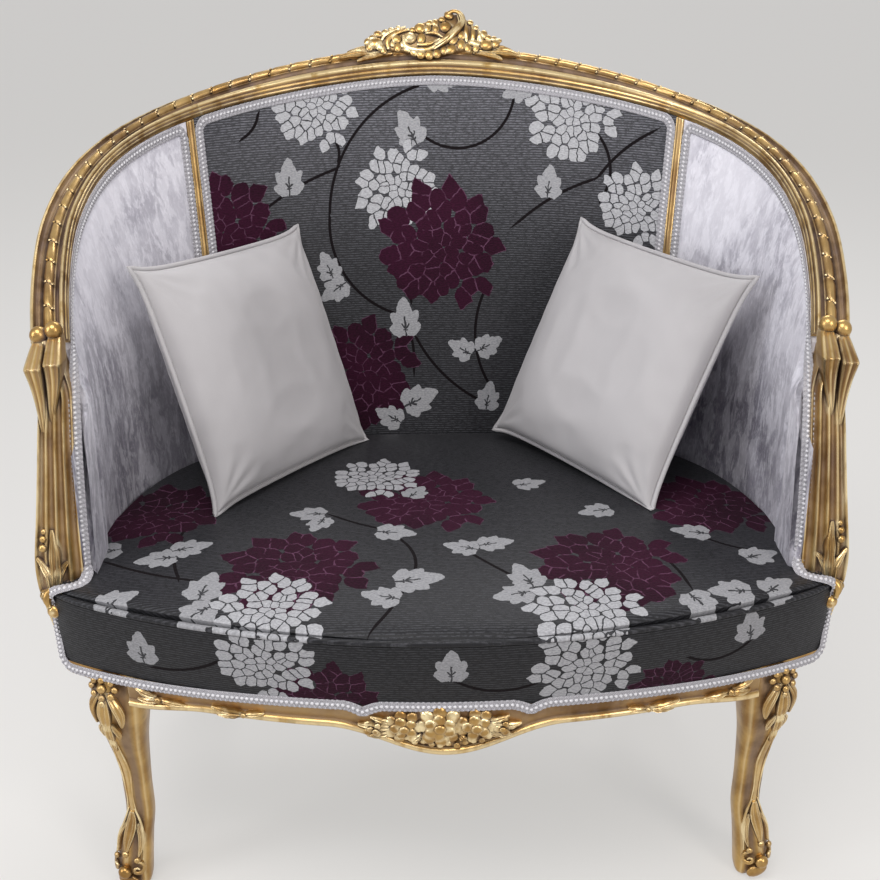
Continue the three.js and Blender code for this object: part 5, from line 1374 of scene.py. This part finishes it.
def makeLegs(gilding):
    for side, sign in sides.items():
        aways = [turnFromEdge(angle) for angle in evenly(0, 2 * math.pi, 40)[:-1]]
        # stains: patina and painted shade in the hollow beside the front edge, wear and painted highlight on
        # the edges
        stainsAndShading = [0.85 * smoothstep(away, 0.15, 0.32) * (1 - smoothstep(away, 0.80, 0.95))
                  - 0.6 * math.exp(-((away - 0.95) / 0.10) ** 2) - 0.5 * math.exp(-(away / 0.12) ** 2)
                  for away in aways]
        leg = smoothed(lofted("leg", legRings("front", sign, 1), stainsAndShading=stainsAndShading), 50)
        post = [Vector(((0.370 + x * 0.090) * sign, -0.203 - y * 0.070 + shiftY, 0)) for x,
                y in legs["postOutline"]]
        block = smoothed(lofted("post", [[p + up * z for p in post] for z in (0.3185, 0.3845)]), 30)
        applied(block, "BEVEL", width=0.002, segments=2)
        gilded(f"front_{side}_leg_piece", [leg, block], gilding, [f"front_{side}_leg"])

        leg = smoothed(lofted("leg", legRings("rear", sign, 0)), 50)
        deselect()
        bpy.ops.mesh.primitive_cube_add(size=0.048, location=(0.320 * sign, 0.148 + shiftY, 0.3515),
                                        rotation=(0, 0, math.radians(45)))
        block = bpy.context.object
        block.scale.z = 0.067 / 0.048
        bpy.ops.object.transform_apply()
        applied(block, "BEVEL", width=0.003, segments=3)
        gilded(f"rear_{side}_leg_piece", [leg, smoothed(block)], gilding, [f"rear_{side}_leg"])
    print("legs made")


# Carvings of the crest, the front rail, the knees and the toes

def makeCrestCarving(gilding):
    def where(x, y, z):        # along the rail, up over its edge and out of its face
        return onRail(x / 1000 / railLength, -y / 1000, z / 1000)
    pieces = []
    def leafAt(*leafPlaces, **more):
        for base, tip, width, lift in leafPlaces:
            pieces.append(carvedLeaf(where, base, tip, width, lift, depth=2.5, **more))
    def strap(thin, thick, *points, flat=0.75):
        pieces.append(bar(where, points, (thin, thick), flat))
    def lobe(x, y, radius, stretch=1.22, turn=None, rise=4.6, flat=0.50):
        turn = 37 * (x + 2 * y) % 180 if turn is None else turn
        pieces.append(ball(where, x, y, radius * 1.05, flat, rise, stretch, turn))
    # a plate behind the relief, with a rounded rim
    plate = [(-101, 1), (-98, 9), (-86, 18), (-76, 22.5), (-54, 23), (-32, 25), (-20, 31), (-8, 36),
             (4, 39), (14, 45), (23, 49), (35, 48), (48, 37), (61, 25), (75, 17), (89, 11), (94, 1),
             (80, -6), (58, -8), (28, -13), (4, -19), (-20, -19), (-40, -12), (-64, -9), (-84, -6)]
    backing = lofted("plate", [[where(mix(-4, x, t), mix(6, y, t), z) for x, y in plate]
                               for t, z in ((0.93, -10), (0.99, -8), (1, -4), (1, 0), (0.97, 2.4),
                                            (0.90, 3.2), (0.4, 3.6))],
                     stainsAndShading=[0.45] * len(plate))
    pieces.append(smoothed(backing, 50))
    # the large scroll: from its ball round below and up to the peak, where it curls over, with ridges
    strap(3.4, 4.4, (-43, 12, 4), (-43, 5, 4), (-41, -4, 4), (-31, -11, 5), (-13, -13, 6), (2, -8, 7))
    strap(3, 6.2, (-10, -14, 4), (4, -6, 6), (16, 2, 7), (27, 14, 8), (35, 25, 8), (39, 35, 8), (35, 45, 8),
          (26, 48, 8), (18, 44, 7))
    for shift, rise in ((-3.6, 9.5), (0.4, 11.5), (4.2, 9.5)):
        strap(1, 1.9, (0, -9 - shift, rise - 2), (14, 0 - shift * 0.7, rise),
              (27 - shift * 0.4, 14 - shift * 0.5, rise), (37 - shift * 0.8, 30, rise),
              (34 - shift * 0.5, 43 - shift * 0.4, rise - 1), flat=1)
    strap(1.6, 3.2, (-25, -5, 7), (-10, -5.5, 8), (8, 3, 8))
    strap(1.4, 2.8, (-12, 13.5, 6), (1, 12, 8), (13, 5, 8))
    for place in ((-34.5, 7.2, 9.2, 1), (-19.5, 22, 8.4, 1), (-18.5, 5.5, 6.4, 1.35), (15.5, 23.5, 8.6, 1),
                  (1, 30, 5), (10.5, 36, 4.2), (20, 43, 6, 1.2), (24, -11.5, 6.6), (-9, 21, 5.2, 1.3, 60),
                  (2, 20, 5.4, 1.3, 90), (-6, 30, 4.6), (-30, 20, 4.4), (27, 3, 6, 1.4, 50)):
        lobe(*place)
    lobe(-34.5, 7.2, 6.2, 1, rise=8)
    pieces.append(spiral(where, (15.5, 23.5), 11.5, 0.95, 1.4, 5.5))
    pieces.append(spiral(where, (-19.5, 22), 11, 0.80, 1.4, 5, 3.4))
    # left: a broad band that turns up, ovals in it, a ragged leaf and berries
    strap(2.6, 4.2, (-66, -8, 4), (-67, 4, 5), (-61, 12, 5), (-50, 18, 5), (-35, 21, 5))
    strap(1.8, 3.2, (-76, 6, 4), (-70, 14, 5), (-58, 21, 5), (-40, 26, 4))
    for place in ((-54, 7, 6.6, 1.1), (-53, -6.5, 5.4, 1.3, 90), (-84, 3, 9, 1.15, 20), (-78, -3, 6.4, 1.2),
                  (-93, -1, 5.6, 1.4), (-74, -10, 4.4), (-79, 17.5, 5.2), (-69.5, 18.5, 4.8), (-87, 12, 5),
                  (-95, 7, 5), (-60, 0, 3.6, 1.5, 90), (-46, -2, 3.6, 1.5, 90), (-60, 22.5, 3.8),
                  (-50, 24, 3.8)):
        lobe(*place)
    # right: blocks, ribs that fan out, berries
    for x, low, high, lean in ((46, 2, 34, 0), (54, 0, 28, 2), (62, 3, 22, 3)):
        strap(2, 3.8, (x, low, 4), (x - 1 + lean, mix(low, high, 0.4), 6), (x - 3 + lean, high, 5))
    for place in ((38.5, 11.5, 6.8, 1.1, 90), (38.5, -3.5, 6, 1.4), (57, 0.5, 5.4, 1.7), (75, -1, 8, 1.15),
                  (88, 3, 5.6, 1.4), (69, 15, 5.8), (76.5, 10, 5), (84, 9.5, 4.2), (48, -8, 5, 1.5),
                  (92, 7.5, 3.4), (66, 7, 4.6), (60, -7, 4.6, 1.5), (50, 33, 4), (58, 25, 3.8)):
        lobe(*place)
    # lower lip
    for place in ((-30, -15, 5.8), (-20, -18, 6.8, 1.1, 90), (-8, -19.5, 6.8, 1.1, 90),
                  (4, -18, 6.4, 1.1, 90), (14, -13, 5.6), (-39, -10, 5)):
        lobe(*place, rise=4)
    for hand, reach in ((-1, 140), (1, 126)):        # long flat leaves that lie along the rail
        leafAt(((hand * 84, -9), (hand * reach, -10), 14, 5), ((hand * 62, -12), (hand * (reach - 26), -19),
                                                               10, 4),
               ((hand * 80, -3), (hand * (reach - 14), -3), 9, 4), lobes=2, bow=0.03 * hand)
    gilded("crest_carving_piece", pieces, gilding, ["crest_carving"])

def makeFrontCarvings(gilding):
    def where(x, y, z):        # on the face of the front rail: across, height and out
        return Vector((x / 1000, arcY(x / 1000, seat["faceY"], seat["arc"]) - z / 1000, y / 1000))
    pieces = []
    def bothLeaves(table, lift, shift=0):
        for (x, y), (tipX, tipY), width in table:
            for sign in (-1, 1):
                pieces.append(carvedLeaf(where, (x * sign + shift, y), (tipX * sign + shift, tipY), width,
                                         lift))
    # three roses of round petals heaped on each other, with a lip of small lobes under them
    random.seed(11)
    for x, y, reach, petals in ((-48, 321.5, 15.5, 7), (-8, 322.5, 18.5, 8), (33, 322, 16.5, 7),
                                (-80, 318.5, 9.5, 5), (62, 319.5, 10, 5)):
        heaps = ((1, petals, 0.46), (0.56, petals - 2, 0.42), (0, 1, 0.34))
        for ring, (away, count, size) in enumerate(heaps):
            for i in range(count):
                angle = 2 * math.pi * (i + 0.5 * ring) / count + random.uniform(-0.12, 0.12)
                along, lift = away * reach * math.cos(angle), away * reach * 0.92 * math.sin(angle)
                pieces.append(ball(where, x + along, y + lift, reach * size * random.uniform(0.9, 1.1),
                                   0.55, 1.5 + 3.4 * ring, 1.18, math.degrees(angle)))
    for i in range(15):
        x = mix(-74, 58, i / 14)
        pieces.append(ball(where, x, apronLow(x / 1000) * 1000 + 16.5 + 2 * math.cos(i * 2.4), 4, 0.7, 1.5))
    bothLeaves((((50, 320), (92, 322.5), 14), ((52, 314), (82, 308), 11), ((50, 327), (78, 333.5), 11),
                ((20, 312), (34, 301.5), 10), ((10, 334), (22, 342.5), 10)), 5.5, -8)
    gilded("front_rail_carving_piece", pieces, gilding, ["front_rail_carving"])

    pieces = []        # sprigs by the rise of the rail
    bothLeaves((((228, 322.5), (268, 326.5), 12.5), ((232, 321.5), (262, 317.5), 9.5),
                ((230, 322.5), (206, 327), 9.5), ((332, 322), (358, 319), 12), ((334, 326), (360, 333), 12),
                ((330, 323.5), (298, 322), 10)), 4.5)
    for sign in (-1, 1):
        for x, y, radius in ((230, 322.5, 3.4), (332, 324, 4.2)):
            pieces.append(ball(where, x * sign, y, radius, rise=3))
    gilded("front_rail_sprigs", pieces, gilding)

def onLeg(kind, sign, outward):
    # over one edge of a leg: across round it, height and out
    part = legs[kind]
    curve = tableCurve(part["stations"])
    def where(x, y, z):
        x, y, z = [value / 1000 for value in (x, y, z)]
        share = lastShare(lambda at: mix(legs["glide"], legs["top"], curve(at)[0]) > y, 18)
        height, sway, bow, width = curve(share)
        radius = part["half"] * width * 1.10
        angle = math.radians(outward) + x / radius
        return Vector(((part["x"] + sway * part["sway"] + (radius + z) * math.cos(angle)) * sign,
                       part["y"] + bow * part["bow"] + (radius + z) * math.sin(angle), y))
    return where

def makeLegCarvings(gilding):
    # leaves down the leg's edge: base, tip, width, lift and curl; and leaves beside them, with their bow
    middleLeaves = ((312, 262, 19, 6, 1), (276, 236, 14, 5.2, 1), (246, 222, 10, 4, 1),
                    (118, 58, 15.5, 5, 3))
    sideLeaves = (((6, 318), (17.5, 268), 13, 5.2, 2, 0.12), ((3, 274), (11.5, 246), 9, 4, 1, 0.12),
                  ((7, 100), (15.5, 52), 10, 4.2, 2, 0.1))
    for side, sign in sides.items():
        where = onLeg("front", sign, legs["edge"])
        # knee: a rosette of berries over a pendant of leaves; toe: two stalks, a leaf and a boss
        pieces = [carvedLeaf(where, (0, base), (0, tip), width, lift, 0, curl) for base, tip, width, lift,
                  curl in
                  middleLeaves]
        for hand in (-1, 1):
            for (x, base), (tipX, tip), width, lift, curl, bow in sideLeaves:
                pieces.append(carvedLeaf(where, (x * hand, base), (tipX * hand, tip), width, lift, 0, curl,
                                         bow * hand))
            for line, radii in ((((4, 236, 0.5), (6, 190, 1), (4, 140, 1), (6, 116, 1.5)), (0.7, 1.3)),
                                (((4, 124, 1), (9.5, 106, 2), (18.5, 72, 2), (21, 46, 2)), (1.0, 1.8))):
                pieces.append(bar(where, [(x * hand, y, z) for x, y, z in line], radii))
            pieces.append(spiral(where, (15 * hand, 34), 9.5, 1.2, 3.6, 4.5, math.pi / 2, -hand))
            pieces.append(ball(where, 14 * hand, 48, 4.2, 0.8, 3.5))
        berries = [(15 * math.cos(a), 322.5 + 10 * math.sin(a), 4.6) for a in evenly(0, 2 * math.pi,
                                                                                     8)[:-1]]
        for x, y, radius in berries + [(0, 322.5, 6.2), (0, 306, 4), (0, 56, 4.6)]:
            pieces.append(ball(where, x, y, radius, 0.8, 3.5))
        pieces.append(ball(where, 0, 30, 9, 0.85, 4))
        pieces.append(ball(where, 0, 13.5, 10, 0.5, 0.5, 1.6))
        gilded(f"front_{side}_leg_carving", pieces, gilding)
    print("carvings made")


# Outer covers behind the back and arms

def onOuter(topShare, baseShare, rise, depth):
    top = onRail(topShare, 0.008, -0.0405)
    origin, inward = planFrame(baseShare)
    base = origin - inward * 0.0022
    base = Vector((base.x, base.y, 0.336))
    return base.lerp(top, rise) - inward * (0.006 * math.sin(math.pi * rise) + depth)

def makeOuterCovers(jacquard, velvet, braid):
    seam = 0.0005 / frameLength
    spans = {"outer_back_cover": ((-0.445, 0.445), (-0.44, 0.44), jacquard, "floral_jacquard")}
    for side, sign in sides.items():
        spans[f"{side}_outer_cover"] = (((0.445 + seam) * sign, 0.955 * sign),
                                        ((0.44 + seam) * sign, 0.985 * sign), velvet, "side_velvet")
    for node, (tops, bases, cloth, slot) in spans.items():
        rings = []
        for across in evenly(0, 1, 120):
            top, base = mix(*tops, across), mix(*bases, across)
            rings.append([onOuter(top, base, rise, 0.003) for rise in evenly(0, 1, 50)]
                         + [onOuter(top, base, rise, 0) for rise in evenly(1, 0, 8)])
        if cloth == velvet:        # folds in at the front to the back of the arm support
            sign = math.copysign(1, tops[0])
            last = rings[-1]
            for share in (0.35, 0.7, 1):
                ring = []
                for i, p in enumerate(last):
                    outer, wide, fore, deep = supportAt(max(p.z, 0.386))
                    inset = 0.004 if i <= 50 else 0.009
                    behind = Vector(((outer - inset) * sign, deep - fore + shiftY - 0.002, p.z))
                    ring.append(p.lerp(behind, share))
                rings.append(ring)
        piece = smoothed(lofted(f"{node}_piece", rings), 50)
        finished(piece, cloth, slot, replaces=[node])
        # gimp round the edge of the cover
        stations = []
        inset = 0.006
        def add(across, rise, ax, ay):
            def at(u, v, depth=0.003):
                return onOuter(mix(*tops, u), mix(*bases, u), v, depth)
            p = at(across, rise)
            out = (at(across, rise, 0.01) - p).normalized()
            beside = at(across + ax * 0.004, rise + ay * 0.01) - p
            stations.append((p + out * 0.0003, (beside - out * beside.dot(out)).normalized(), out))
        u, v = inset / (abs(tops[1] - tops[0]) * railLength), inset / 0.5
        for across in evenly(u, 1 - u, 150):
            add(across, v, 0, 1)
        for rise in evenly(v, 1 - v, 60)[1:]:
            add(1 - u, rise, -1, 0)
        for across in evenly(1 - u, u, 150)[1:]:
            add(across, 1 - v, 0, -1)
        for rise in evenly(1 - v, v, 60)[1:]:
            add(u, rise, 1, 0)
        makeGimp(f"{node}_gimp", stations, braid)
    print("outer covers made")


# Loose cushions

cushions = {
    "side": 0.319, "narrow": 0.955, "thickness": 0.122, "pull": 0.0135, "cells": 46, "startThickness": 0.84,
    "pipe": 0.0031, "pipeOut": 0.0012, "clear": 0.0012, "pressure": 1.6, "frames": 14, "softCap": 0.015,
    "pucker": 0.0022,
    "left": {"place": (-0.241, 0.053, 0.606), "turn": 55, "lean": -22, "roll": 1.7},
    "right": {"place": (0.236, 0.050, 0.607), "turn": -52, "lean": -26, "roll": 3.5},
}

def cushionShell(name):
    # two faces of a square pillow that share their seam; the seam's vertices are marked as a group
    cells = cushions["cells"]
    half, pull = cushions["side"] / 2, cushions["pull"]
    shares = [math.sin(u * math.pi / 2) * 0.35 + u * 0.65 for u in evenly(-1, 1, cells)]
    def pulled(u):        # sides pull in between the corners, which stand out as ears
        return pull * (0.35 * (1 - u * u) + 0.65 * (1 - u ** 8))
    shells = []
    for face in (-1, 1):
        rings = []
        for u in shares:
            ring = []
            for v in shares:
                crown = max((1 - abs(u) ** 2.7) * (1 - abs(v) ** 2.7), 0) ** 0.44
                away = math.hypot(1 - abs(u), 1 - abs(v))
                fan = math.atan2(1 - abs(v), 1 - abs(u) + 1e-9) * 14 + 2 * u + face
                crease = cushions["pucker"] * math.sin(fan) * math.exp(-((away - 0.20) / 0.16) ** 2)
                side = math.sin(23 * (u + 0.13 * face)) * math.exp(-((1 - abs(v)) / 0.10) ** 2)
                side += math.sin(27 * (v - 0.11 * face)) * math.exp(-((1 - abs(u)) / 0.10) ** 2)
                deep = cushions["thickness"] * cushions["startThickness"] * crown / 2
                deep += (crease + 0.0006 * side) * min(crown * 2, 1)
                ring.append(Vector((u * (half * cushions["narrow"] - pulled(v)), face * deep,
                                    v * (half - pulled(u)))))
            rings.append(ring)
        shells.append(lofted(name, rings, closed=False, caps=False))
    shell = joined(name, shells)
    bpy.ops.object.mode_set(mode="EDIT")
    bpy.ops.mesh.select_all(action="SELECT")
    bpy.ops.mesh.remove_doubles(threshold=1e-6)
    bpy.ops.mesh.normals_make_consistent(inside=False)
    bpy.ops.object.mode_set(mode="OBJECT")
    seam = shell.vertex_groups.new(name="seam")
    seam.add([v.index for v in shell.data.vertices if abs(v.co.y) < 1e-6], 1, "REPLACE")
    return shell

def puffed(shell):
    # cloth under pressure, so the faces swell and the seam puckers
    rest = [v.co.copy() for v in shell.data.vertices]
    cloth = shell.modifiers.new("cloth", "CLOTH")
    setting = cloth.settings
    setting.quality = 7
    setting.mass = 0.25
    setting.tension_stiffness = setting.compression_stiffness = 60
    setting.shear_stiffness = 30
    setting.bending_stiffness = 2.0
    setting.air_damping = 3
    setting.use_pressure = True
    setting.uniform_pressure_force = cushions["pressure"]
    setting.shrink_min = -0.02
    setting.effector_weights.gravity = 0
    for step in range(1, cushions["frames"] + 1):
        bpy.context.scene.frame_set(step)
    swollen = shell.evaluated_get(bpy.context.evaluated_depsgraph_get())
    places = [v.co.copy() for v in swollen.data.vertices]
    shell.modifiers.clear()
    bpy.context.scene.frame_set(1)
    for v, old, new in zip(shell.data.vertices, rest, places):
        move = new - old
        v.co = old + move * cushions["softCap"] / (move.length + cushions["softCap"])
    print("cushion swelled by", round(max((new - old).length for old, new in zip(rest, places)), 4))
    return shell

def seamLoop(shell):
    # the seam's places in order, starting at any corner
    seam = {v.index for v in shell.data.vertices if v.groups and v.groups[0].weight > 0.5}
    beside = {i: [] for i in seam}
    for edge in shell.data.edges:
        a, b = edge.vertices
        if a in seam and b in seam:
            beside[a].append(b)
            beside[b].append(a)
    start = min(seam)
    order, last = [start], None
    while True:
        following = [i for i in beside[order[-1]] if i != last]
        last = order[-1]
        if following[0] == start and len(order) > 2 or len(order) > len(seam):
            break
        order.append(following[0])
    return [shell.data.vertices[i].co.copy() for i in order]

def keptClear(piece, walls):
    # what leans on the chair is flattened against it
    graph = bpy.context.evaluated_depsgraph_get()
    trees = [BVHTree.FromObject(w, graph) for w in walls]
    for v in piece.data.vertices:
        for tree in trees:
            near, normal, index, distance = tree.find_nearest(v.co)
            depth = (v.co - near).dot(normal)
            if depth < cushions["clear"] and distance < 0.06:
                v.co = near + normal * cushions["clear"]

def makeCushions(velvet, walls):
    for side, sign in sides.items():
        spot = cushions[side]
        shell = puffed(cushionShell("shell"))
        lean, roll, turn = [math.radians(spot[key]) for key in ("lean", "roll", "turn")]
        matrix = (Matrix.Translation(spot["place"]) @ Matrix.Translation((0, shiftY,
                                                                          0)) @ Matrix.Rotation(turn, 4,
                                                                                                "Z")
                  @ Matrix.Rotation(lean, 4, "X") @ Matrix.Rotation(roll, 4, "Y"))
        shell.data.transform(matrix)
        keptClear(shell, walls)
        path = seamLoop(shell)
        applied(shell, "SUBSURF", levels=1, render_levels=1)
        centre = matrix.translation
        pipe = []
        count = len(path)
        for i, p in enumerate(path):
            along = (path[(i + 1) % count] - path[i - 1]).normalized()
            out = p - centre
            out = (out - along * out.dot(along)).normalized()
            pipe.append(circled(p + out * cushions["pipeOut"], out, along.cross(out), cushions["pipe"], 10))
        welt = lofted("pipe", pipe, around=True)
        piece = smoothed(joined(f"{side}_cushion_piece", [shell, welt]), 70)
        keptClear(piece, walls)
        finished(piece, velvet, "cushion_velvet", body=f"{side}_cushion",
                 replaces=[f"{side}_scatter_cushion"])
    print("cushions made")


# CAD pieces that stay as they are

def dressKept(finishes):
    beech, jute, wadding, cloth, steel = finishes
    kinds = {"tack_rail": beech, "corner_block": beech, "glide": steel, "spring": steel, "webbing": jute,
             "hessian": jute, "stuffing": wadding, "dust_cover": cloth}
    for node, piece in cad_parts.items():
        for word, finish in kinds.items():
            if word in node:
                piece.data.materials.clear()
                piece.data.materials.append(finish.material)


# Motif places on each cloth: x and y on the cloth in millimetres, turn in degrees, size

backMotifs = {
    "plumOver": True,
    "silver": [(-167, 908, 20, 64), (200, 894, 80, 66), (-51, 799, 150, 66), (288, 779, 10, 56)],
    "plum": [(13, 716, 30, 94), (-298, 750, 75, 85), (-107, 538, 110, 88)],
    "leaves": [(-207, 814, 92, 50), (-35, 877, 118, 52), (166, 805, 85, 46), (-154, 691, 112, 42),
               (-145, 658, 215, 44), (-44, 614, 95, 56), (39, 570, 150, 40), (79, 575, 28, 42),
               (-24, 495, 25, 56), (-68, 469, 150, 44), (79, 498, 80, 44), (15, 944, 350, 50),
               (122, 928, 200, 42)],
    "stems": [[(-21, 932), (-130, 847), (-153, 760), (-133, 676), (-61, 620)],
              [(-18, 866), (57, 852), (115, 925)],
              [(309, 880), (261, 846), (231, 811), (167, 782), (113, 742)],
              [(71, 652), (57, 587), (79, 513)], [(-32, 588), (19, 521), (79, 483)],
              [(-300, 722), (-216, 790), (-140, 823)], [(-275, 867), (-258, 880), (-250, 902)],
              [(-152, 868), (-140, 852), (-141, 829)], [(224, 877), (245, 845), (233, 779)],
              [(-18, 683), (-38, 650), (-36, 634)], [(-40, 594), (-34, 563), (-35, 530)]],
}
seatMotifs = {
    "plumOver": False,
    "silver": [(-81, -7, 0, 64), (-188, -326, 40, 68), (157, -334, 95, 68)],
    "plum": [(-15, -82, 30, 90), (-167, -249, 75, 92), (198, -246, 110, 92), (-358, -97, 10, 88),
             (346, -88, 50, 88)],
    "leaves": [(-164, -112, 175, 46), (-56, -167, 350, 50), (25, -205, 160, 44), (64, -196, 15, 44),
               (198, -111, 200, 46), (-29, -275, 10, 58), (-68, -307, 165, 46), (94, -271, 110, 52),
               (79, -306, 195, 46), (-300, -190, 20, 50), (-335, -214, 190, 50), (-406, -187, 195, 50),
               (-367, -298, 30, 52), (-268, -280, 80, 56), (-273, -330, 215, 52), (324, -298, 185, 52),
               (285, -322, 300, 50), (308, -164, 170, 48), (377, -217, 25, 48), (-30, -56, 60, 40),
               (120, -30, 20, 44), (-150, -140, 250, 40), (380, -285, 40, 46)],
    "stems": [[(-303, -266), (-321, -178), (-317, -141)], [(-400, -214), (-346, -247), (-280, -270)],
              [(-52, -187), (-34, -233), (-46, -294), (-60, -330), (-83, -367)],
              [(14, -200), (42, -235), (95, -290)], [(259, -233), (270, -262), (276, -296)],
              [(300, -160), (345, -200), (372, -210)], [(-140, -118), (-95, -150), (-62, -165)]],
}
frontMotifs = {
    "plumOver": False,
    "silver": [(-195, 406, 0, 62), (156, 401, 60, 64)],
    "plum": [(-129, 350, 0, 62), (260, 345, 80, 52)],
    "leaves": [(-340, 399, 92, 46), (7, 411, 90, 46), (346, 420, 95, 46)],
    "stems": [[(-335, 372), (-290, 378), (-250, 400)], [(10, 388), (50, 372), (100, 382)],
              [(346, 397), (310, 380), (270, 392)]],
}

def build():
    makeStudio()
    makeCamera()
    gilding = makeGilding()
    sideVelvet = makeCrushedVelvet()
    cushionVelvet = makePlainVelvet()
    braid = makeBraid()
    # three copies of one jacquard, painted lighter or darker by how much light the back, seat and front band
    # get: painted light and shade
    backJacquard = makeJacquard("backJacquard", True, backMotifs, 0.75)
    seatJacquard = makeJacquard("seatJacquard", False, seatMotifs, 0.62)
    frontJacquard = makeJacquard("frontJacquard", True, frontMotifs, 0.46)
    print("finishes made")
    makeRails(gilding)
    makeStiles(gilding)
    makePads(backJacquard, sideVelvet)
    makeWallGimps(braid)
    makeSeat(seatJacquard, frontJacquard, braid)
    makeSupports(gilding)
    makeSeatRails(gilding)
    makeLegs(gilding)
    makeCrestCarving(gilding)
    makeFrontCarvings(gilding)
    makeLegCarvings(gilding)
    makeOuterCovers(backJacquard, sideVelvet, braid)
    walls = [bpy.data.objects[name] for name in ("back_pad_piece", "left_side_pad_piece",
                                                 "right_side_pad_piece", "seat_cover_piece")]
    makeCushions(cushionVelvet, walls)
    dressKept([makePlain("beech", (0.34, 0.22, 0.12), (0.52, 0.37, 0.22), 30, 0.6, stretch=(1, 1, 0.2)),
               makeCloth("jute", (0.20, 0.14, 0.07), (0.42, 0.31, 0.17), 0.0035, 0.9),
               makePlain("wadding", (0.55, 0.50, 0.40), (0.75, 0.70, 0.60), 60, 0.95, bump=0.002),
               makeCloth("blackCloth", (0.008, 0.008, 0.009), (0.03, 0.03, 0.033), 0.0012, 0.9),
               makePlain("steel", (0.40, 0.40, 0.41), (0.58, 0.58, 0.60), 80, 0.35, metallic=1.0)])


build()
